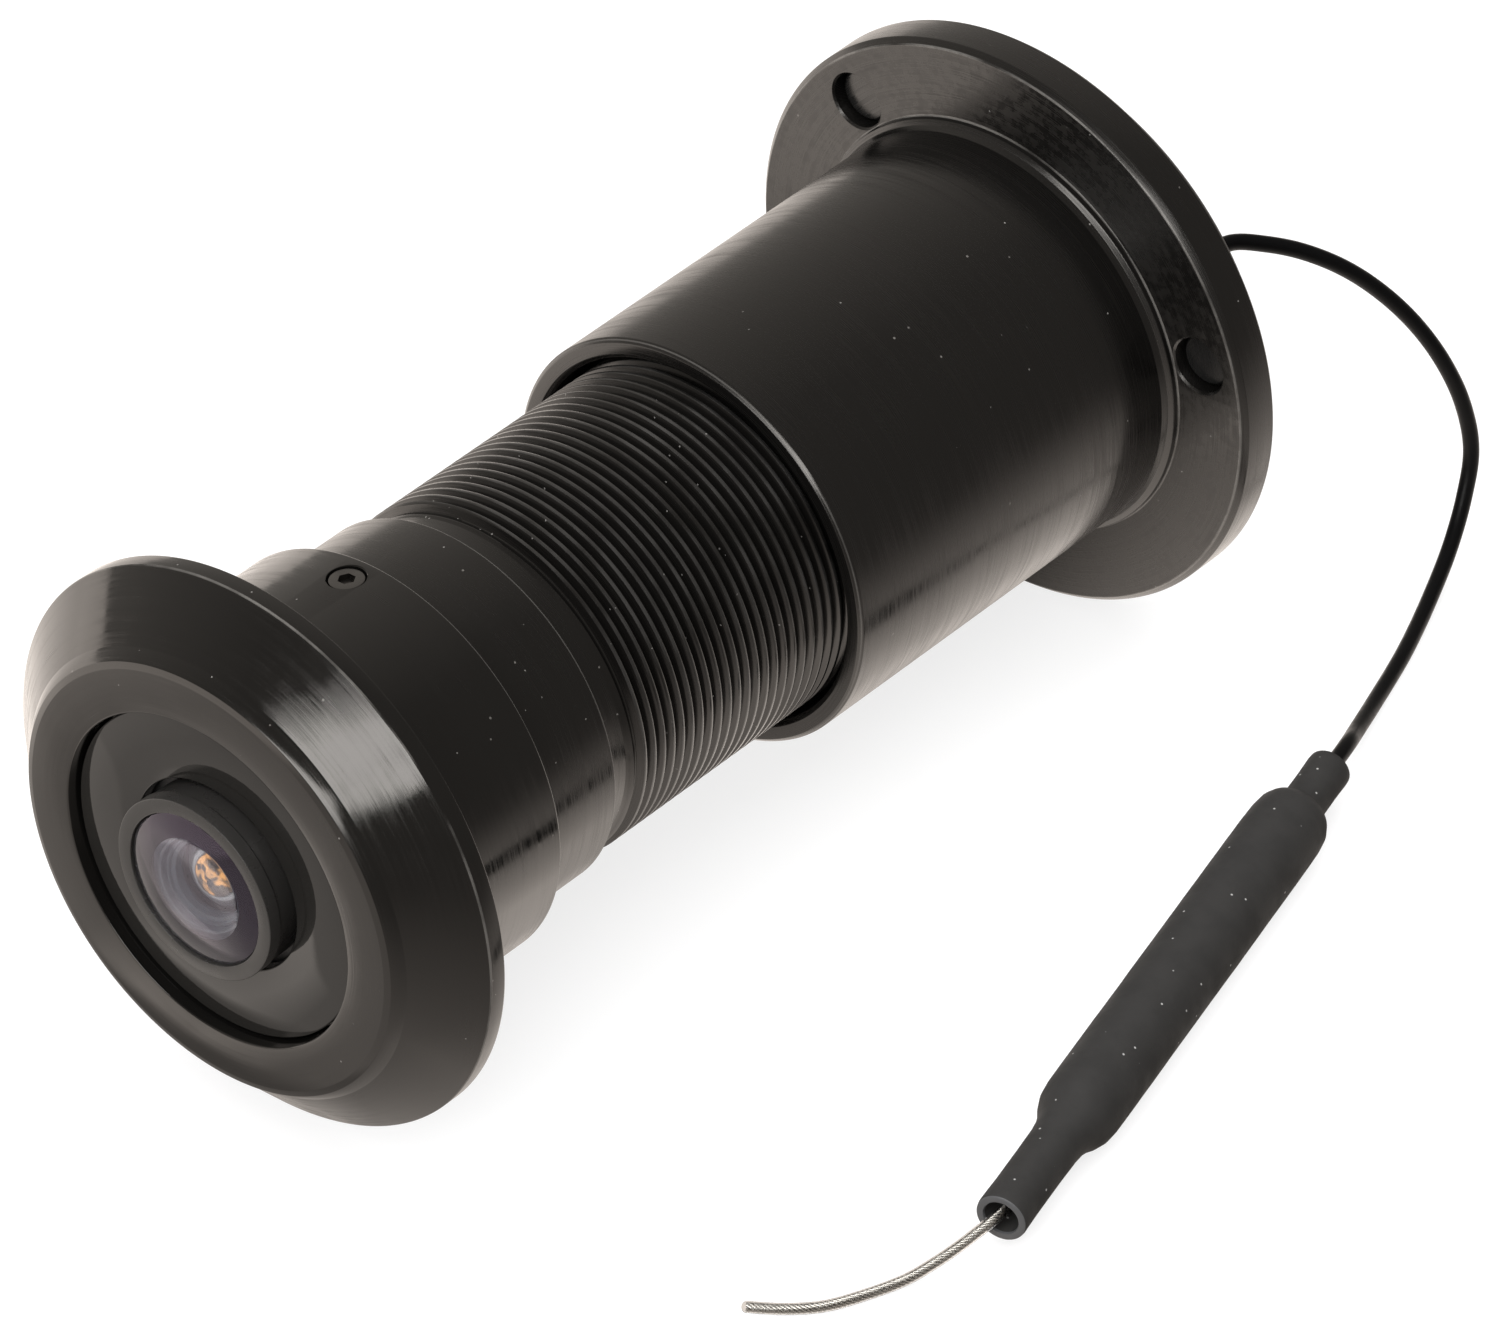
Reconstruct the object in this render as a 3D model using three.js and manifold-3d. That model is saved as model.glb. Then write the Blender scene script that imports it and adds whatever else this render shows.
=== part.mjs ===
// Wi-Fi door viewer: a camera bezel on a threaded barrel that screws into a flanged rear sleeve,
// with its boards inside the sleeve and a flying-lead antenna behind it.
// Millimetres. The viewer lies on a table: its axis runs along +Y from the lens to the flange,
// the camera's up side is +Z, and the table is z = 0.
import * as THREE from 'three';
import { mergeVertices } from 'three/addons/utils/BufferGeometryUtils.js';
import Module from 'manifold-3d';

const wasm = await Module();
wasm.setup();

// ---------------------------------------------------------------- driving dimensions
// Stations ("_Y") are measured along the axis from the front edge of the bezel's rim.
const GAP = 0.3; // running and fitting clearance between separate pieces

const RIM_R = 20; // bezel rim
const RIM_BACK_Y = 1.28; // seat against the outside of the door
const BEZEL_FRONT_Y = -4.36; // flat ring around the recess
const RECESS_R = 11.9;
const LEDGE_R = 10.6; // ledge that carries the camera plate
const SKIRT_R = 14.64;
const SKIRT_BACK_Y = 12.4;

const NECK_R = 13.27; // plain part of the barrel, inside the bezel's skirt
const NECK_BACK_Y = 19.2;
const THREAD_R = 12.82;
const THREAD_START_Y = 21.6;
const RELIEF_R = 12.2;
const BARREL_BORE_R = 11.3;
const BARREL_BACK_Y = 54;

const SLEEVE_R = 14.75;
const SLEEVE_FRONT_Y = 41.02;
const SLEEVE_BORE_R = 13.3;
const FLANGE_R = 20.93;
const FLANGE_FRONT_Y = 72.23; // seat against the inside of the door
const FLANGE_BACK_Y = 75.43;
const PIN_CIRCLE_R = 17.5;
const PIN_HOLE_R = 2;
const PIN_ANGLES = [16, 136, 256]; // degrees from +X towards +Z

const COVER_R = 19.7;
const COVER_FRONT_Y = FLANGE_BACK_Y + GAP;
const COVER_BACK_Y = 77.33;

const PLATE_R = 11.68; // dark disc around the lens
const PLATE_FRONT_Y = -3.46;
const PLATE_THICK = 1;
const LENS_HEAD_R = 6.48;
const LENS_HEAD_Y = -5.47;
const LENS_BODY_R = 5.95; // M12 lens body
const LENS_BACK_Y = 5;
const DOME_R = 11; // radius of curvature of the front lens
const DOME_EDGE_R = 5.15;
const DOME_EDGE_Y = -5.15;

const BOARD_HALF_W = 9; // main board, lying in the z = axis plane
const BOARD_FRONT_Y = 40;
const BOARD_BACK_Y = 73.2;
const BOARD_HALF_T = 0.5;

const CORD_R = 0.565; // 1.13 mm micro-coax
const EXIT_X = 9.3; // where the coax leaves the rear cover, beside and above the axis
const EXIT_Z = 4.6;
const GROMMET_BACK_Y = 79.8;

const SHRINK_R = 2.7; // heat-shrink sleeve over the antenna
const SHRINK_LENGTH = 50.6;
const SHRINK_TOP = [32.0, 68.8]; // x and station of its cord end
const SHRINK_HEADING = [0.2485, -0.9686]; // along the table, towards the radiator
const RADIATOR_R = 0.385;

// Facets of round pieces. A flat, not a corner, faces the table.
const FACETS_LARGE = 48;
const FACETS_MEDIUM = 32;
const FACETS_SMALL = 16;

// The axis stands over the table by the flange's flat, and the box of the viewer is centred on y = 0.
const AXIS_Z = FLANGE_R * Math.cos(Math.PI / FACETS_LARGE);
const domeSag = DOME_R - Math.sqrt(DOME_R ** 2 - DOME_EDGE_R ** 2);
const MID_Y = (DOME_EDGE_Y - domeSag + COVER_BACK_Y) / 2;

// ---------------------------------------------------------------- materials
const material = (color, roughness, metalness) => new THREE.MeshStandardMaterial({ color, roughness, metalness });
const BLACK_ALU = material(0x2b2b2c, 0.38, 0.85);
const PLATE_ALU = material(0x4b4b4d, 0.55, 0.6);
const BLACK_PLASTIC = material(0x1c1c1d, 0.5, 0);
const BLACK_STEEL = material(0x333335, 0.35, 0.9);
const LENS_BLACK = material(0x101012, 0.35, 0.4);
const GLASS = material(0x394058, 0.05, 0);
const BOARD_GREEN = material(0x12402b, 0.5, 0);
const CHIP_BLACK = material(0x151517, 0.5, 0);
const TIN = material(0xb9babd, 0.3, 0.9);
const GOLD = material(0xc8a04a, 0.3, 0.9);
const COPPER = material(0xb4683a, 0.35, 0.9);
const FILM = material(0xb57a2a, 0.45, 0);
const CORD_BLACK = material(0x0d0d0e, 0.25, 0);
const SHRINK_BLACK = material(0x39393b, 0.7, 0);
const RUBBER = material(0x161617, 0.8, 0);
const SILVER_WIRE = material(0xb8b6b2, 0.3, 0.7);
const LED_CLEAR = material(0xd8e4e0, 0.2, 0);

// ---------------------------------------------------------------- geometry helpers
// A closed body with merged vertices, no flat triangles and outward faces.
function closed(geometry) {
  geometry.deleteAttribute('normal');
  geometry.deleteAttribute('uv');
  const merged = mergeVertices(geometry, 1e-4);
  const at = merged.getAttribute('position');
  const corner = (i) => new THREE.Vector3().fromBufferAttribute(at, i);
  const faces = [];
  let volume = 0;
  for (let i = 0; i < merged.index.count; i += 3) {
    const [a, b, c] = [0, 1, 2].map((k) => merged.index.getX(i + k));
    if (a === b || b === c || c === a) continue;
    faces.push([a, b, c]);
    volume += corner(a).dot(corner(b).cross(corner(c)));
  }
  merged.setIndex(faces.flatMap(([a, b, c]) => (volume < 0 ? [a, c, b] : [a, b, c])));
  return merged;
}

// A body of revolution about the axis. A profile is [radius, station] points in order.
function turned(profile, facets = FACETS_LARGE) {
  const loop = [...profile];
  const onAxis = profile[0][0] === 0 && profile.at(-1)[0] === 0;
  if (!onAxis) loop.push(profile[0]);
  const points = loop.map(([r, y]) => new THREE.Vector2(r, y));
  return closed(new THREE.LatheGeometry(points, facets, Math.PI / facets));
}

// A plain tube or rod between two stations.
const tube = (inner, outer, y0, y1, facets) => turned([[inner, y0], [outer, y0], [outer, y1], [inner, y1]], facets);
const rod = (r, y0, y1, facets = FACETS_SMALL) => turned([[0, y0], [r, y0], [r, y1], [0, y1]], facets);

// A box from its lowest to its highest corner.
function block([x0, y0, z0], [x1, y1, z1]) {
  const box = new THREE.BoxGeometry(x1 - x0, y1 - y0, z1 - z0);
  return closed(box.translate((x0 + x1) / 2, (y0 + y1) / 2, (z0 + z1) / 2));
}

// A stadium-shaped bar along the axis, wide in x, with round ends.
function stadiumBar(width, height, y0, y1, z) {
  const r = height / 2;
  const flat = width / 2 - r;
  const shape = new THREE.Shape();
  shape.absarc(flat, 0, r, -Math.PI / 2, Math.PI / 2);
  shape.absarc(-flat, 0, r, Math.PI / 2, 1.5 * Math.PI);
  const bar = new THREE.ExtrudeGeometry(shape, { depth: y1 - y0, bevelEnabled: false, curveSegments: 6 });
  return closed(bar.rotateX(Math.PI / 2).translate(0, y1, z));
}

// A round tube along a list of points.
function along(points, radius, steps, sides = 8) {
  const curve = new THREE.CatmullRomCurve3(points.map((p) => new THREE.Vector3(...p)), false, 'centripetal');
  const section = new THREE.Shape();
  for (let i = 0; i < sides; i++) {
    const turn = (2 * Math.PI * (i + 0.5)) / sides;
    section[i ? 'lineTo' : 'moveTo'](radius * Math.cos(turn), radius * Math.sin(turn));
  }
  return closed(new THREE.ExtrudeGeometry(section, { steps, extrudePath: curve, bevelEnabled: false }));
}

// Points on a lens surface from its axis to its edge; a positive bulge puts the middle forward (-Y).
function lensArc(edgeR, edgeY, bulge, steps) {
  const radius = (edgeR ** 2 + bulge ** 2) / (2 * Math.abs(bulge));
  return Array.from({ length: steps + 1 }, (_, i) => {
    const r = (edgeR * i) / steps;
    const rise = Math.sqrt(radius ** 2 - r ** 2) - Math.sqrt(radius ** 2 - edgeR ** 2);
    return [r, edgeY - Math.sign(bulge) * rise];
  });
}

// A lens: front and back edge stations and bulges; both bulges are positive towards the front.
function lens(r, frontY, frontBulge, backY, backBulge, facets = FACETS_SMALL, steps = 4) {
  return turned([...lensArc(r, frontY, frontBulge, steps), ...lensArc(r, backY, backBulge, steps).reverse()], facets);
}

const moved = (geometry, x, y, z) => geometry.translate(x, y, z);

function toSolid(geometry) {
  return new wasm.Manifold(new wasm.Mesh({
    numProp: 3,
    vertProperties: Float32Array.from(geometry.getAttribute('position').array),
    triVerts: Uint32Array.from(geometry.index.array),
  }));
}

function toGeometry(solid) {
  const mesh = solid.getMesh();
  const geometry = new THREE.BufferGeometry();
  geometry.setAttribute('position', new THREE.BufferAttribute(new Float32Array(mesh.vertProperties), 3));
  geometry.setIndex(Array.from(mesh.triVerts));
  return geometry;
}

const cut = (geometry, ...tools) => toGeometry(tools.reduce((s, t) => s.subtract(toSolid(t)), toSolid(geometry)));
const joined = (geometry, ...more) => toGeometry(more.reduce((s, t) => s.add(toSolid(t)), toSolid(geometry)));

// ---------------------------------------------------------------- the assembly
const viewer = new THREE.Group();
const laid = new THREE.Group(); // pieces given by station along the axis
laid.position.set(0, -MID_Y, AXIS_Z);
viewer.add(laid);

function piece(name, geometry, finish, parent = laid) {
  const mesh = new THREE.Mesh(geometry, finish);
  mesh.name = name;
  parent.add(mesh);
  return mesh;
}

// The grub screw goes in from the top of the skirt, a little off the vertical.
const GRUB_Y = 10.5;
const GRUB_TILT = THREE.MathUtils.degToRad(5.5);
const GRUB_R = 1;
const GRUB_INNER = 11.9;
const GRUB_OUTER = 14.45;
const radial = (geometry) => geometry.rotateX(Math.PI / 2).rotateY(-GRUB_TILT).translate(0, GRUB_Y, 0);
const grubHole = () => radial(rod(GRUB_R + GAP, BARREL_BORE_R - 1, SKIRT_R + 1));

function bezel() {
  const coneFoot = [16.1, -3.45]; // where the cone starts to round over into the front ring
  const profile = [
    [RECESS_R, BEZEL_FRONT_Y], [15.0, BEZEL_FRONT_Y], [15.65, -4.05], coneFoot, [RIM_R, 0],
    [RIM_R, RIM_BACK_Y], [SKIRT_R, RIM_BACK_Y], [SKIRT_R, SKIRT_BACK_Y], [NECK_R + GAP, SKIRT_BACK_Y],
    [NECK_R + GAP, -0.6], [LEDGE_R, -0.6], [LEDGE_R, PLATE_FRONT_Y + PLATE_THICK + GAP],
    [RECESS_R, PLATE_FRONT_Y + PLATE_THICK + GAP],
  ];
  piece('front_bezel', cut(turned(profile), grubHole()), BLACK_ALU);

  const barrel = [
    [BARREL_BORE_R, -0.3], [NECK_R, -0.3], [NECK_R, NECK_BACK_Y - 0.25], [NECK_R - 0.25, NECK_BACK_Y],
    [RELIEF_R, NECK_BACK_Y + 0.3], [RELIEF_R, THREAD_START_Y - 0.5], [THREAD_R, THREAD_START_Y],
    [THREAD_R, BARREL_BACK_Y - 0.5], [THREAD_R - 0.5, BARREL_BACK_Y], [BARREL_BORE_R, BARREL_BACK_Y],
  ];
  piece('threaded_barrel', cut(turned(barrel), grubHole()), BLACK_ALU);

  const hexSocket = turned([[0, GRUB_OUTER - 1], [0.52, GRUB_OUTER - 1], [0.52, 15], [0, 15]], 6);
  piece('grub_screw', radial(cut(rod(GRUB_R, GRUB_INNER, GRUB_OUTER), hexSocket)), BLACK_STEEL);
}

function camera() {
  const plateBack = PLATE_FRONT_Y + PLATE_THICK;
  piece('camera_plate', tube(6.8, PLATE_R, PLATE_FRONT_Y, plateBack), PLATE_ALU);

  const headStep = -4.5;
  const body = [
    [5.45, LENS_HEAD_Y], [LENS_HEAD_R, LENS_HEAD_Y], [LENS_HEAD_R, headStep], [6.36, headStep + 0.1],
    [6.36, plateBack - 0.1], [LENS_BODY_R, plateBack - 0.1], [LENS_BODY_R, LENS_BACK_Y], [3.4, LENS_BACK_Y],
    [3.4, 4], [3, 4], [3, -1.2], [3.9, -1.2], [3.9, -4.3], [5.45, -4.3],
  ];
  piece('lens_barrel', turned(body, FACETS_MEDIUM), LENS_BLACK);

  const dome = [
    ...lensArc(DOME_EDGE_R, DOME_EDGE_Y, domeSag, 6), [DOME_EDGE_R, -4.65],
    ...lensArc(3.4, -4.65, 0.75, 4).reverse(),
  ];
  piece('front_lens', turned(dome, FACETS_MEDIUM), GLASS);
  piece('lens_spacer', tube(2.4, 3.6, -4.3, -3.6, FACETS_MEDIUM), LENS_BLACK);
  piece('middle_lens', lens(3.55, -2.6, 0.5, -2.1, -0.4), GLASS);
  piece('rear_lens', lens(2.65, 0.6, 0.6, 1.6, -0.6), GLASS);
  piece('ir_filter', rod(3.05, 4.3, 4.75), GLASS);

  const screwR = 0.8;
  const screwZ = 8;
  const sensorBoardY = 8.8;
  const holder = turned([
    [6.3, plateBack + GAP], [9.8, plateBack + GAP], [9.8, sensorBoardY - GAP], [5.6, sensorBoardY - GAP],
    [5.6, 6], [6.3, 6],
  ], FACETS_MEDIUM);
  const ends = [-screwZ, screwZ];
  const screwHoles = (y0, y1) => ends.map((z) => moved(rod(screwR + GAP, y0, y1, 12), 0, 0, z));
  piece('lens_holder', cut(holder, ...screwHoles(4, 10)), BLACK_PLASTIC);
  const board = turned([[0, sensorBoardY], [10.4, sensorBoardY], [10.4, 9.8], [0, 9.8]], FACETS_MEDIUM);
  piece('sensor_board', cut(board, ...screwHoles(8, 11)), BOARD_GREEN);
  piece('image_sensor', block([-3.2, 7.7, -3.2], [3.2, sensorBoardY - GAP, 3.2]), CHIP_BLACK);
  ends.forEach((z, i) => {
    const screw = turned([[0, 4.5], [screwR, 4.5], [screwR, 10.1], [1.4, 10.1], [1.4, 11], [0, 11]], 12);
    piece(`board_screw_${i + 1}`, moved(screw, 0, 0, z), BLACK_STEEL);
  });
  piece('ribbon_socket_front', block([-4.5, 10.1, -1.4], [4.5, 11.6, 1.4]), CHIP_BLACK);
}

// Cut-outs in the rear cover for the connectors behind it.
const USB_Z = 2.43;
const USB_W = 8.94;
const USB_H = 3.26;
const CARD_HALF_W = 5.5;
const CARD_Z = [-2.3, -1.5];
const BUTTON = { x: -7.2, z: 2.3, r: 0.9 };
const LED = { x: 6.6, z: 2.2, r: 1 };

function rearShell() {
  const profile = [
    [SLEEVE_BORE_R + 0.3, SLEEVE_FRONT_Y], [SLEEVE_R - 0.3, SLEEVE_FRONT_Y], [SLEEVE_R, SLEEVE_FRONT_Y + 0.3],
    [SLEEVE_R, 71.2], [14.95, 71.6], [15.3, 71.8], [15.35, FLANGE_FRONT_Y], [20.35, FLANGE_FRONT_Y],
    [FLANGE_R, FLANGE_FRONT_Y + 0.6], [FLANGE_R, FLANGE_BACK_Y - 0.25], [FLANGE_R - 0.25, FLANGE_BACK_Y],
    [SLEEVE_BORE_R, FLANGE_BACK_Y], [SLEEVE_BORE_R, SLEEVE_FRONT_Y + 0.3],
  ];
  const pinPlaces = PIN_ANGLES.map((angle) => {
    const turn = THREE.MathUtils.degToRad(angle);
    return [PIN_CIRCLE_R * Math.cos(turn), PIN_CIRCLE_R * Math.sin(turn)];
  });
  const pinHoles = pinPlaces.map(([x, z]) => moved(rod(PIN_HOLE_R, 70, 77), x, 0, z));
  piece('sleeve_flange', cut(turned(profile), ...pinHoles), BLACK_ALU);
  pinPlaces.forEach(([x, z], i) => {
    const tipY = FLANGE_FRONT_Y + 0.35;
    const pin = turned([[0, tipY], [1.4, tipY], [1.68, tipY + 0.3], [1.68, FLANGE_BACK_Y], [0, FLANGE_BACK_Y]], 16);
    piece(`cover_pin_${i + 1}`, moved(pin, x, 0, z), BLACK_STEEL);
  });

  const cover = turned([
    [0, COVER_FRONT_Y], [COVER_R, COVER_FRONT_Y], [COVER_R, COVER_FRONT_Y + 0.5], [18.3, COVER_BACK_Y],
    [0, COVER_BACK_Y],
  ]);
  const y0 = COVER_FRONT_Y - 1;
  const y1 = COVER_BACK_Y + 1;
  piece('rear_cover', cut(
    cover,
    stadiumBar(USB_W + 2 * GAP, USB_H + 2 * GAP, y0, y1, USB_Z),
    block([-CARD_HALF_W - 0.4, y0, CARD_Z[0] - 0.4], [CARD_HALF_W + 0.4, y1, CARD_Z[1] + 0.4]),
    moved(rod(BUTTON.r + GAP, y0, y1), BUTTON.x, 0, BUTTON.z),
    moved(rod(LED.r + GAP, y0, y1), LED.x, 0, LED.z),
    moved(rod(1.1 + GAP, y0, y1), EXIT_X, 0, EXIT_Z),
  ), BLACK_PLASTIC);
}

function electronics() {
  // A ring behind the boards with two grooved rails that hold the main board's edges.
  const ring = rod(10.9, 73.7, 75.4, FACETS_MEDIUM);
  const window = block([-8.6, 73, -3.6], [8.0, 76, 4.6]);
  const coaxHole = moved(rod(1.2, 73, 76), EXIT_X, 0, EXIT_Z);
  const rails = [-1, 1].map((side) => {
    const x = [side * 8.3, side * 10.3].sort((a, b) => a - b);
    return block([x[0], 46, -1.8], [x[1], 74.5, 1.8]);
  });
  const groove = block([-BOARD_HALF_W - GAP, 40, -0.8], [BOARD_HALF_W + GAP, BOARD_BACK_Y + GAP, 0.8]);
  piece('board_chassis', cut(joined(cut(ring, window, coaxHole), ...rails), groove), BLACK_PLASTIC);

  piece('main_board', block(
    [-BOARD_HALF_W, BOARD_FRONT_Y, -BOARD_HALF_T], [BOARD_HALF_W, BOARD_BACK_Y, BOARD_HALF_T],
  ), BOARD_GREEN);
  const top = BOARD_HALF_T + GAP;
  piece('soc_chip', block([-5, 44.5, top], [5, 54.5, top + 1.1]), CHIP_BLACK);
  piece('wifi_shield', block([-6.5, 56, top], [3.5, 66.5, top + 1.8]), TIN);
  piece('ribbon_socket_rear', block([-4.5, 41, top], [4.5, 43.4, top + 1.3]), CHIP_BLACK);

  const usbCavity = stadiumBar(USB_W - 0.6, USB_H - 0.7, 70, 80, USB_Z);
  piece('usb_shell', cut(stadiumBar(USB_W, USB_H, 67.8, 77.15, USB_Z), usbCavity), TIN);
  piece('usb_tongue', block([-3.35, 70.3, USB_Z - 0.35], [3.35, 76.2, USB_Z + 0.35]), CHIP_BLACK);

  const socket = block([-6.6, 58, CARD_Z[0] - 0.7], [6.6, 72.5, CARD_Z[1] + 0.7]);
  const slot = block([-CARD_HALF_W - 0.4, 61.6, CARD_Z[0] - 0.35], [CARD_HALF_W + 0.4, 73, CARD_Z[1] + 0.35]);
  piece('card_socket', cut(socket, slot), TIN);
  piece('memory_card', block([-CARD_HALF_W, 62.2, CARD_Z[0]], [CARD_HALF_W, 77.2, CARD_Z[1]]), CHIP_BLACK);

  piece('reset_switch', block([BUTTON.x - 1.05, 69.4, top], [BUTTON.x + 1.35, 72.9, top + 2.6]), CHIP_BLACK);
  piece('reset_button', moved(rod(BUTTON.r, 73.6, COVER_BACK_Y - 0.15), BUTTON.x, 0, BUTTON.z), BLACK_PLASTIC);
  piece('status_led', moved(rod(LED.r, 71.5, COVER_BACK_Y - 0.15), LED.x, 0, LED.z), LED_CLEAR);
}

// A wave of flexible circuit between the sensor board and the main board, with slack for the travel.
function ribbon() {
  const halfT = 0.15;
  const front = 12;
  const back = 39.4;
  const endZ = 0.9;
  const height = 2.6;
  const waves = 4;
  const steps = 10 * waves;
  const wave = (t) => endZ * t + height * Math.sin(2 * Math.PI * waves * t) * Math.sin(Math.PI * t) ** 0.5;
  const outline = (sign) => Array.from({ length: steps + 1 }, (_, i) => {
    const t = i / steps;
    const [before, after] = [Math.max(t - 0.5 / steps, 0), Math.min(t + 0.5 / steps, 1)];
    const run = (back - front) * (after - before);
    const rise = wave(after) - wave(before);
    const length = Math.hypot(run, rise);
    return [front + (back - front) * t - (sign * halfT * rise) / length, wave(t) + (sign * halfT * run) / length];
  });
  const shape = new THREE.Shape();
  [...outline(1), ...outline(-1).reverse()].forEach(([y, z], i) => shape[i ? 'lineTo' : 'moveTo'](y, z));
  const width = 6;
  const strip = new THREE.ExtrudeGeometry(shape, { depth: width, bevelEnabled: false });
  // The outline is drawn in (station, height) and stands up from it along x.
  const toAxis = new THREE.Matrix4().makeBasis(
    new THREE.Vector3(0, 1, 0), new THREE.Vector3(0, 0, 1), new THREE.Vector3(1, 0, 0),
  );
  piece('ribbon_cable', closed(moved(strip.applyMatrix4(toAxis), -width / 2, 0, 0)), FILM);
}

// The coax inside the housing, from its plug on the main board to the grommet.
function innerCoax() {
  const plugX = 6.4;
  const plugY = 62;
  const plugFoot = BOARD_HALF_T + GAP;
  const plugTop = 2.2;
  piece('coax_plug', moved(rod(1.3, 0, plugTop - plugFoot).rotateX(Math.PI / 2), plugX, plugY, plugFoot), GOLD);
  const route = [
    [plugX, plugY, plugTop + GAP + CORD_R], [plugX, plugY + 2.5, 3.3], [7.2, plugY + 5, 4.2],
    [8.6, plugY + 8, 4.6], [EXIT_X, plugY + 11, EXIT_Z], [EXIT_X, 75.4, EXIT_Z],
  ];
  piece('coax_lead', along(route, CORD_R, 14), CORD_BLACK);
  const grommet = [
    [CORD_R + GAP, 75.7], [1.1, 75.7], [1.1, COVER_BACK_Y + GAP], [1.7, COVER_BACK_Y + GAP], [1.7, 78.3],
    [1.05, GROMMET_BACK_Y], [CORD_R + GAP, GROMMET_BACK_Y],
  ];
  piece('cable_grommet', moved(turned(grommet, FACETS_SMALL), EXIT_X, 0, EXIT_Z), RUBBER);
}

// The free coax: out of the grommet, down to the table and round to the antenna.
// Points are [x, station, height over the table].
const COAX_ROUTE = [
  [9.3, 80.1, 25.5], [9.3, 82.4, 25.5], [9.7, 84.6, 25.4], [11.1, 86.3, 25.0], [12.8, 88.0, 24.3],
  [14.8, 89.9, 22.9], [16.6, 91.9, 20.6], [18.4, 93.5, 17.9], [20.0, 94.7, 14.8], [21.2, 95.5, 11.4],
  [22.0, 95.6, 7.9], [22.5, 94.4, 4.9], [23.2, 92.2, 2.4], [24.7, 88.1, 1.0], [26.7, 82.9, 0.62],
  [28.6, 77.4, 0.8], [30.3, 73.2, 1.7], [31.3, 71.1, 2.5], [31.93, 69.09, 2.7],
];

// The bare end of the radiator curls down onto the table.
const RADIATOR_ROUTE = [
  [41.95, 30.03, 2.75], [44.2, 20.9, 2.78], [44.2, 19.6, 2.6], [43.85, 18.3, 2.1], [43.4, 16.9, 1.5],
  [42.85, 15.3, 0.95], [42.25, 13.6, 0.52], [41.2, 10.9, 0.42], [39.9, 8.3, 0.42], [38.2, 6.5, 0.42],
  [36.3, 5.1, 0.42],
];

function antenna() {
  const onTable = (points) => points.map(([x, y, z]) => [x, y - MID_Y, z]);
  piece('coax_cable', along(onTable(COAX_ROUTE), CORD_R, 44), CORD_BLACK, viewer);
  piece('radiator_wire', along(onTable(RADIATOR_ROUTE), RADIATOR_R, 24), SILVER_WIRE, viewer);

  const stick = new THREE.Group(); // its own +Y runs from the cord towards the radiator
  stick.position.set(SHRINK_TOP[0], SHRINK_TOP[1] - MID_Y, SHRINK_R + 0.05);
  stick.rotation.z = Math.atan2(-SHRINK_HEADING[0], SHRINK_HEADING[1]);
  viewer.add(stick);
  const shrink = [
    [CORD_R + GAP, 0], [1.55, 0], [1.6, 5.4], [SHRINK_R - 0.1, 8.6], [SHRINK_R, 12], [SHRINK_R, 37.5],
    [SHRINK_R - 0.2, 39.2], [1.85, 42.6], [1.6, 44], [1.55, SHRINK_LENGTH], [1.15, SHRINK_LENGTH], [1.15, 43.5],
    [2.3, 39], [2.3, 9.5], [CORD_R + GAP, 6],
  ];
  piece('antenna_shrink', turned(shrink, FACETS_SMALL), SHRINK_BLACK, stick);
  piece('antenna_choke', tube(1.5, 1.95, 10, 38, FACETS_SMALL), COPPER, stick);
  piece('antenna_feed', rod(CORD_R, 0.3, 39.6, 8), CORD_BLACK, stick);
}

bezel();
camera();
rearShell();
electronics();
ribbon();
innerCoax();
antenna();

export default viewer;
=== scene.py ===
"""Looks for the digital door viewer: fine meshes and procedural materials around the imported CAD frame.

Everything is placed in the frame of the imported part, in metres. The viewer's axis runs along +Y from the
lens to the flange. "Stations" are millimetres along that axis from the front edge of the bezel's rim, and
turned profiles are lists of (radius, station) in millimetres.
"""
import math
from math import cos, radians, sin, sqrt

import bmesh
import bpy
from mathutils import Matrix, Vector, noise


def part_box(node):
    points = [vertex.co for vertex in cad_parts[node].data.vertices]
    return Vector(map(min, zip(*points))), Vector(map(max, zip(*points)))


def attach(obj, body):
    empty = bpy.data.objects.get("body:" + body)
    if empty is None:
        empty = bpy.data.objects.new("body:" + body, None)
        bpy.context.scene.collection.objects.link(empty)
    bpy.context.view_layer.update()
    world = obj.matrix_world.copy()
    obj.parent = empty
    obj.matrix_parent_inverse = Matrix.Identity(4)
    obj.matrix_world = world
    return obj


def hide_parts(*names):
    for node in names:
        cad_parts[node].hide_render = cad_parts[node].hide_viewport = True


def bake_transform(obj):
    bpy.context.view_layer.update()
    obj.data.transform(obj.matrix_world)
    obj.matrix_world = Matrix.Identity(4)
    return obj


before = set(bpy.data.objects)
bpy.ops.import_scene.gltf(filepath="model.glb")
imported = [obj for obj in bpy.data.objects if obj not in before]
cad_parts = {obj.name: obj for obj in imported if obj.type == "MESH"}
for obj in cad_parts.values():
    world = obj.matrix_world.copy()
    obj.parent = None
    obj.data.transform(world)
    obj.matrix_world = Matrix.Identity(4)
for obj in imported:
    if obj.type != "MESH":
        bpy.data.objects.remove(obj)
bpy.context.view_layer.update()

MM = 0.001
TAU = 2 * math.pi

# ---- places taken from the frame
BEZEL_NOSE = 4.36  # the bezel's front ring lies this far in front of its rim

bezel_low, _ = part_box("front_bezel")
sleeve_low, sleeve_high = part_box("sleeve_flange")
RIM_Y = bezel_low.y + BEZEL_NOSE * MM
AXIS_Z = (sleeve_low.z + sleeve_high.z) / 2

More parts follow.
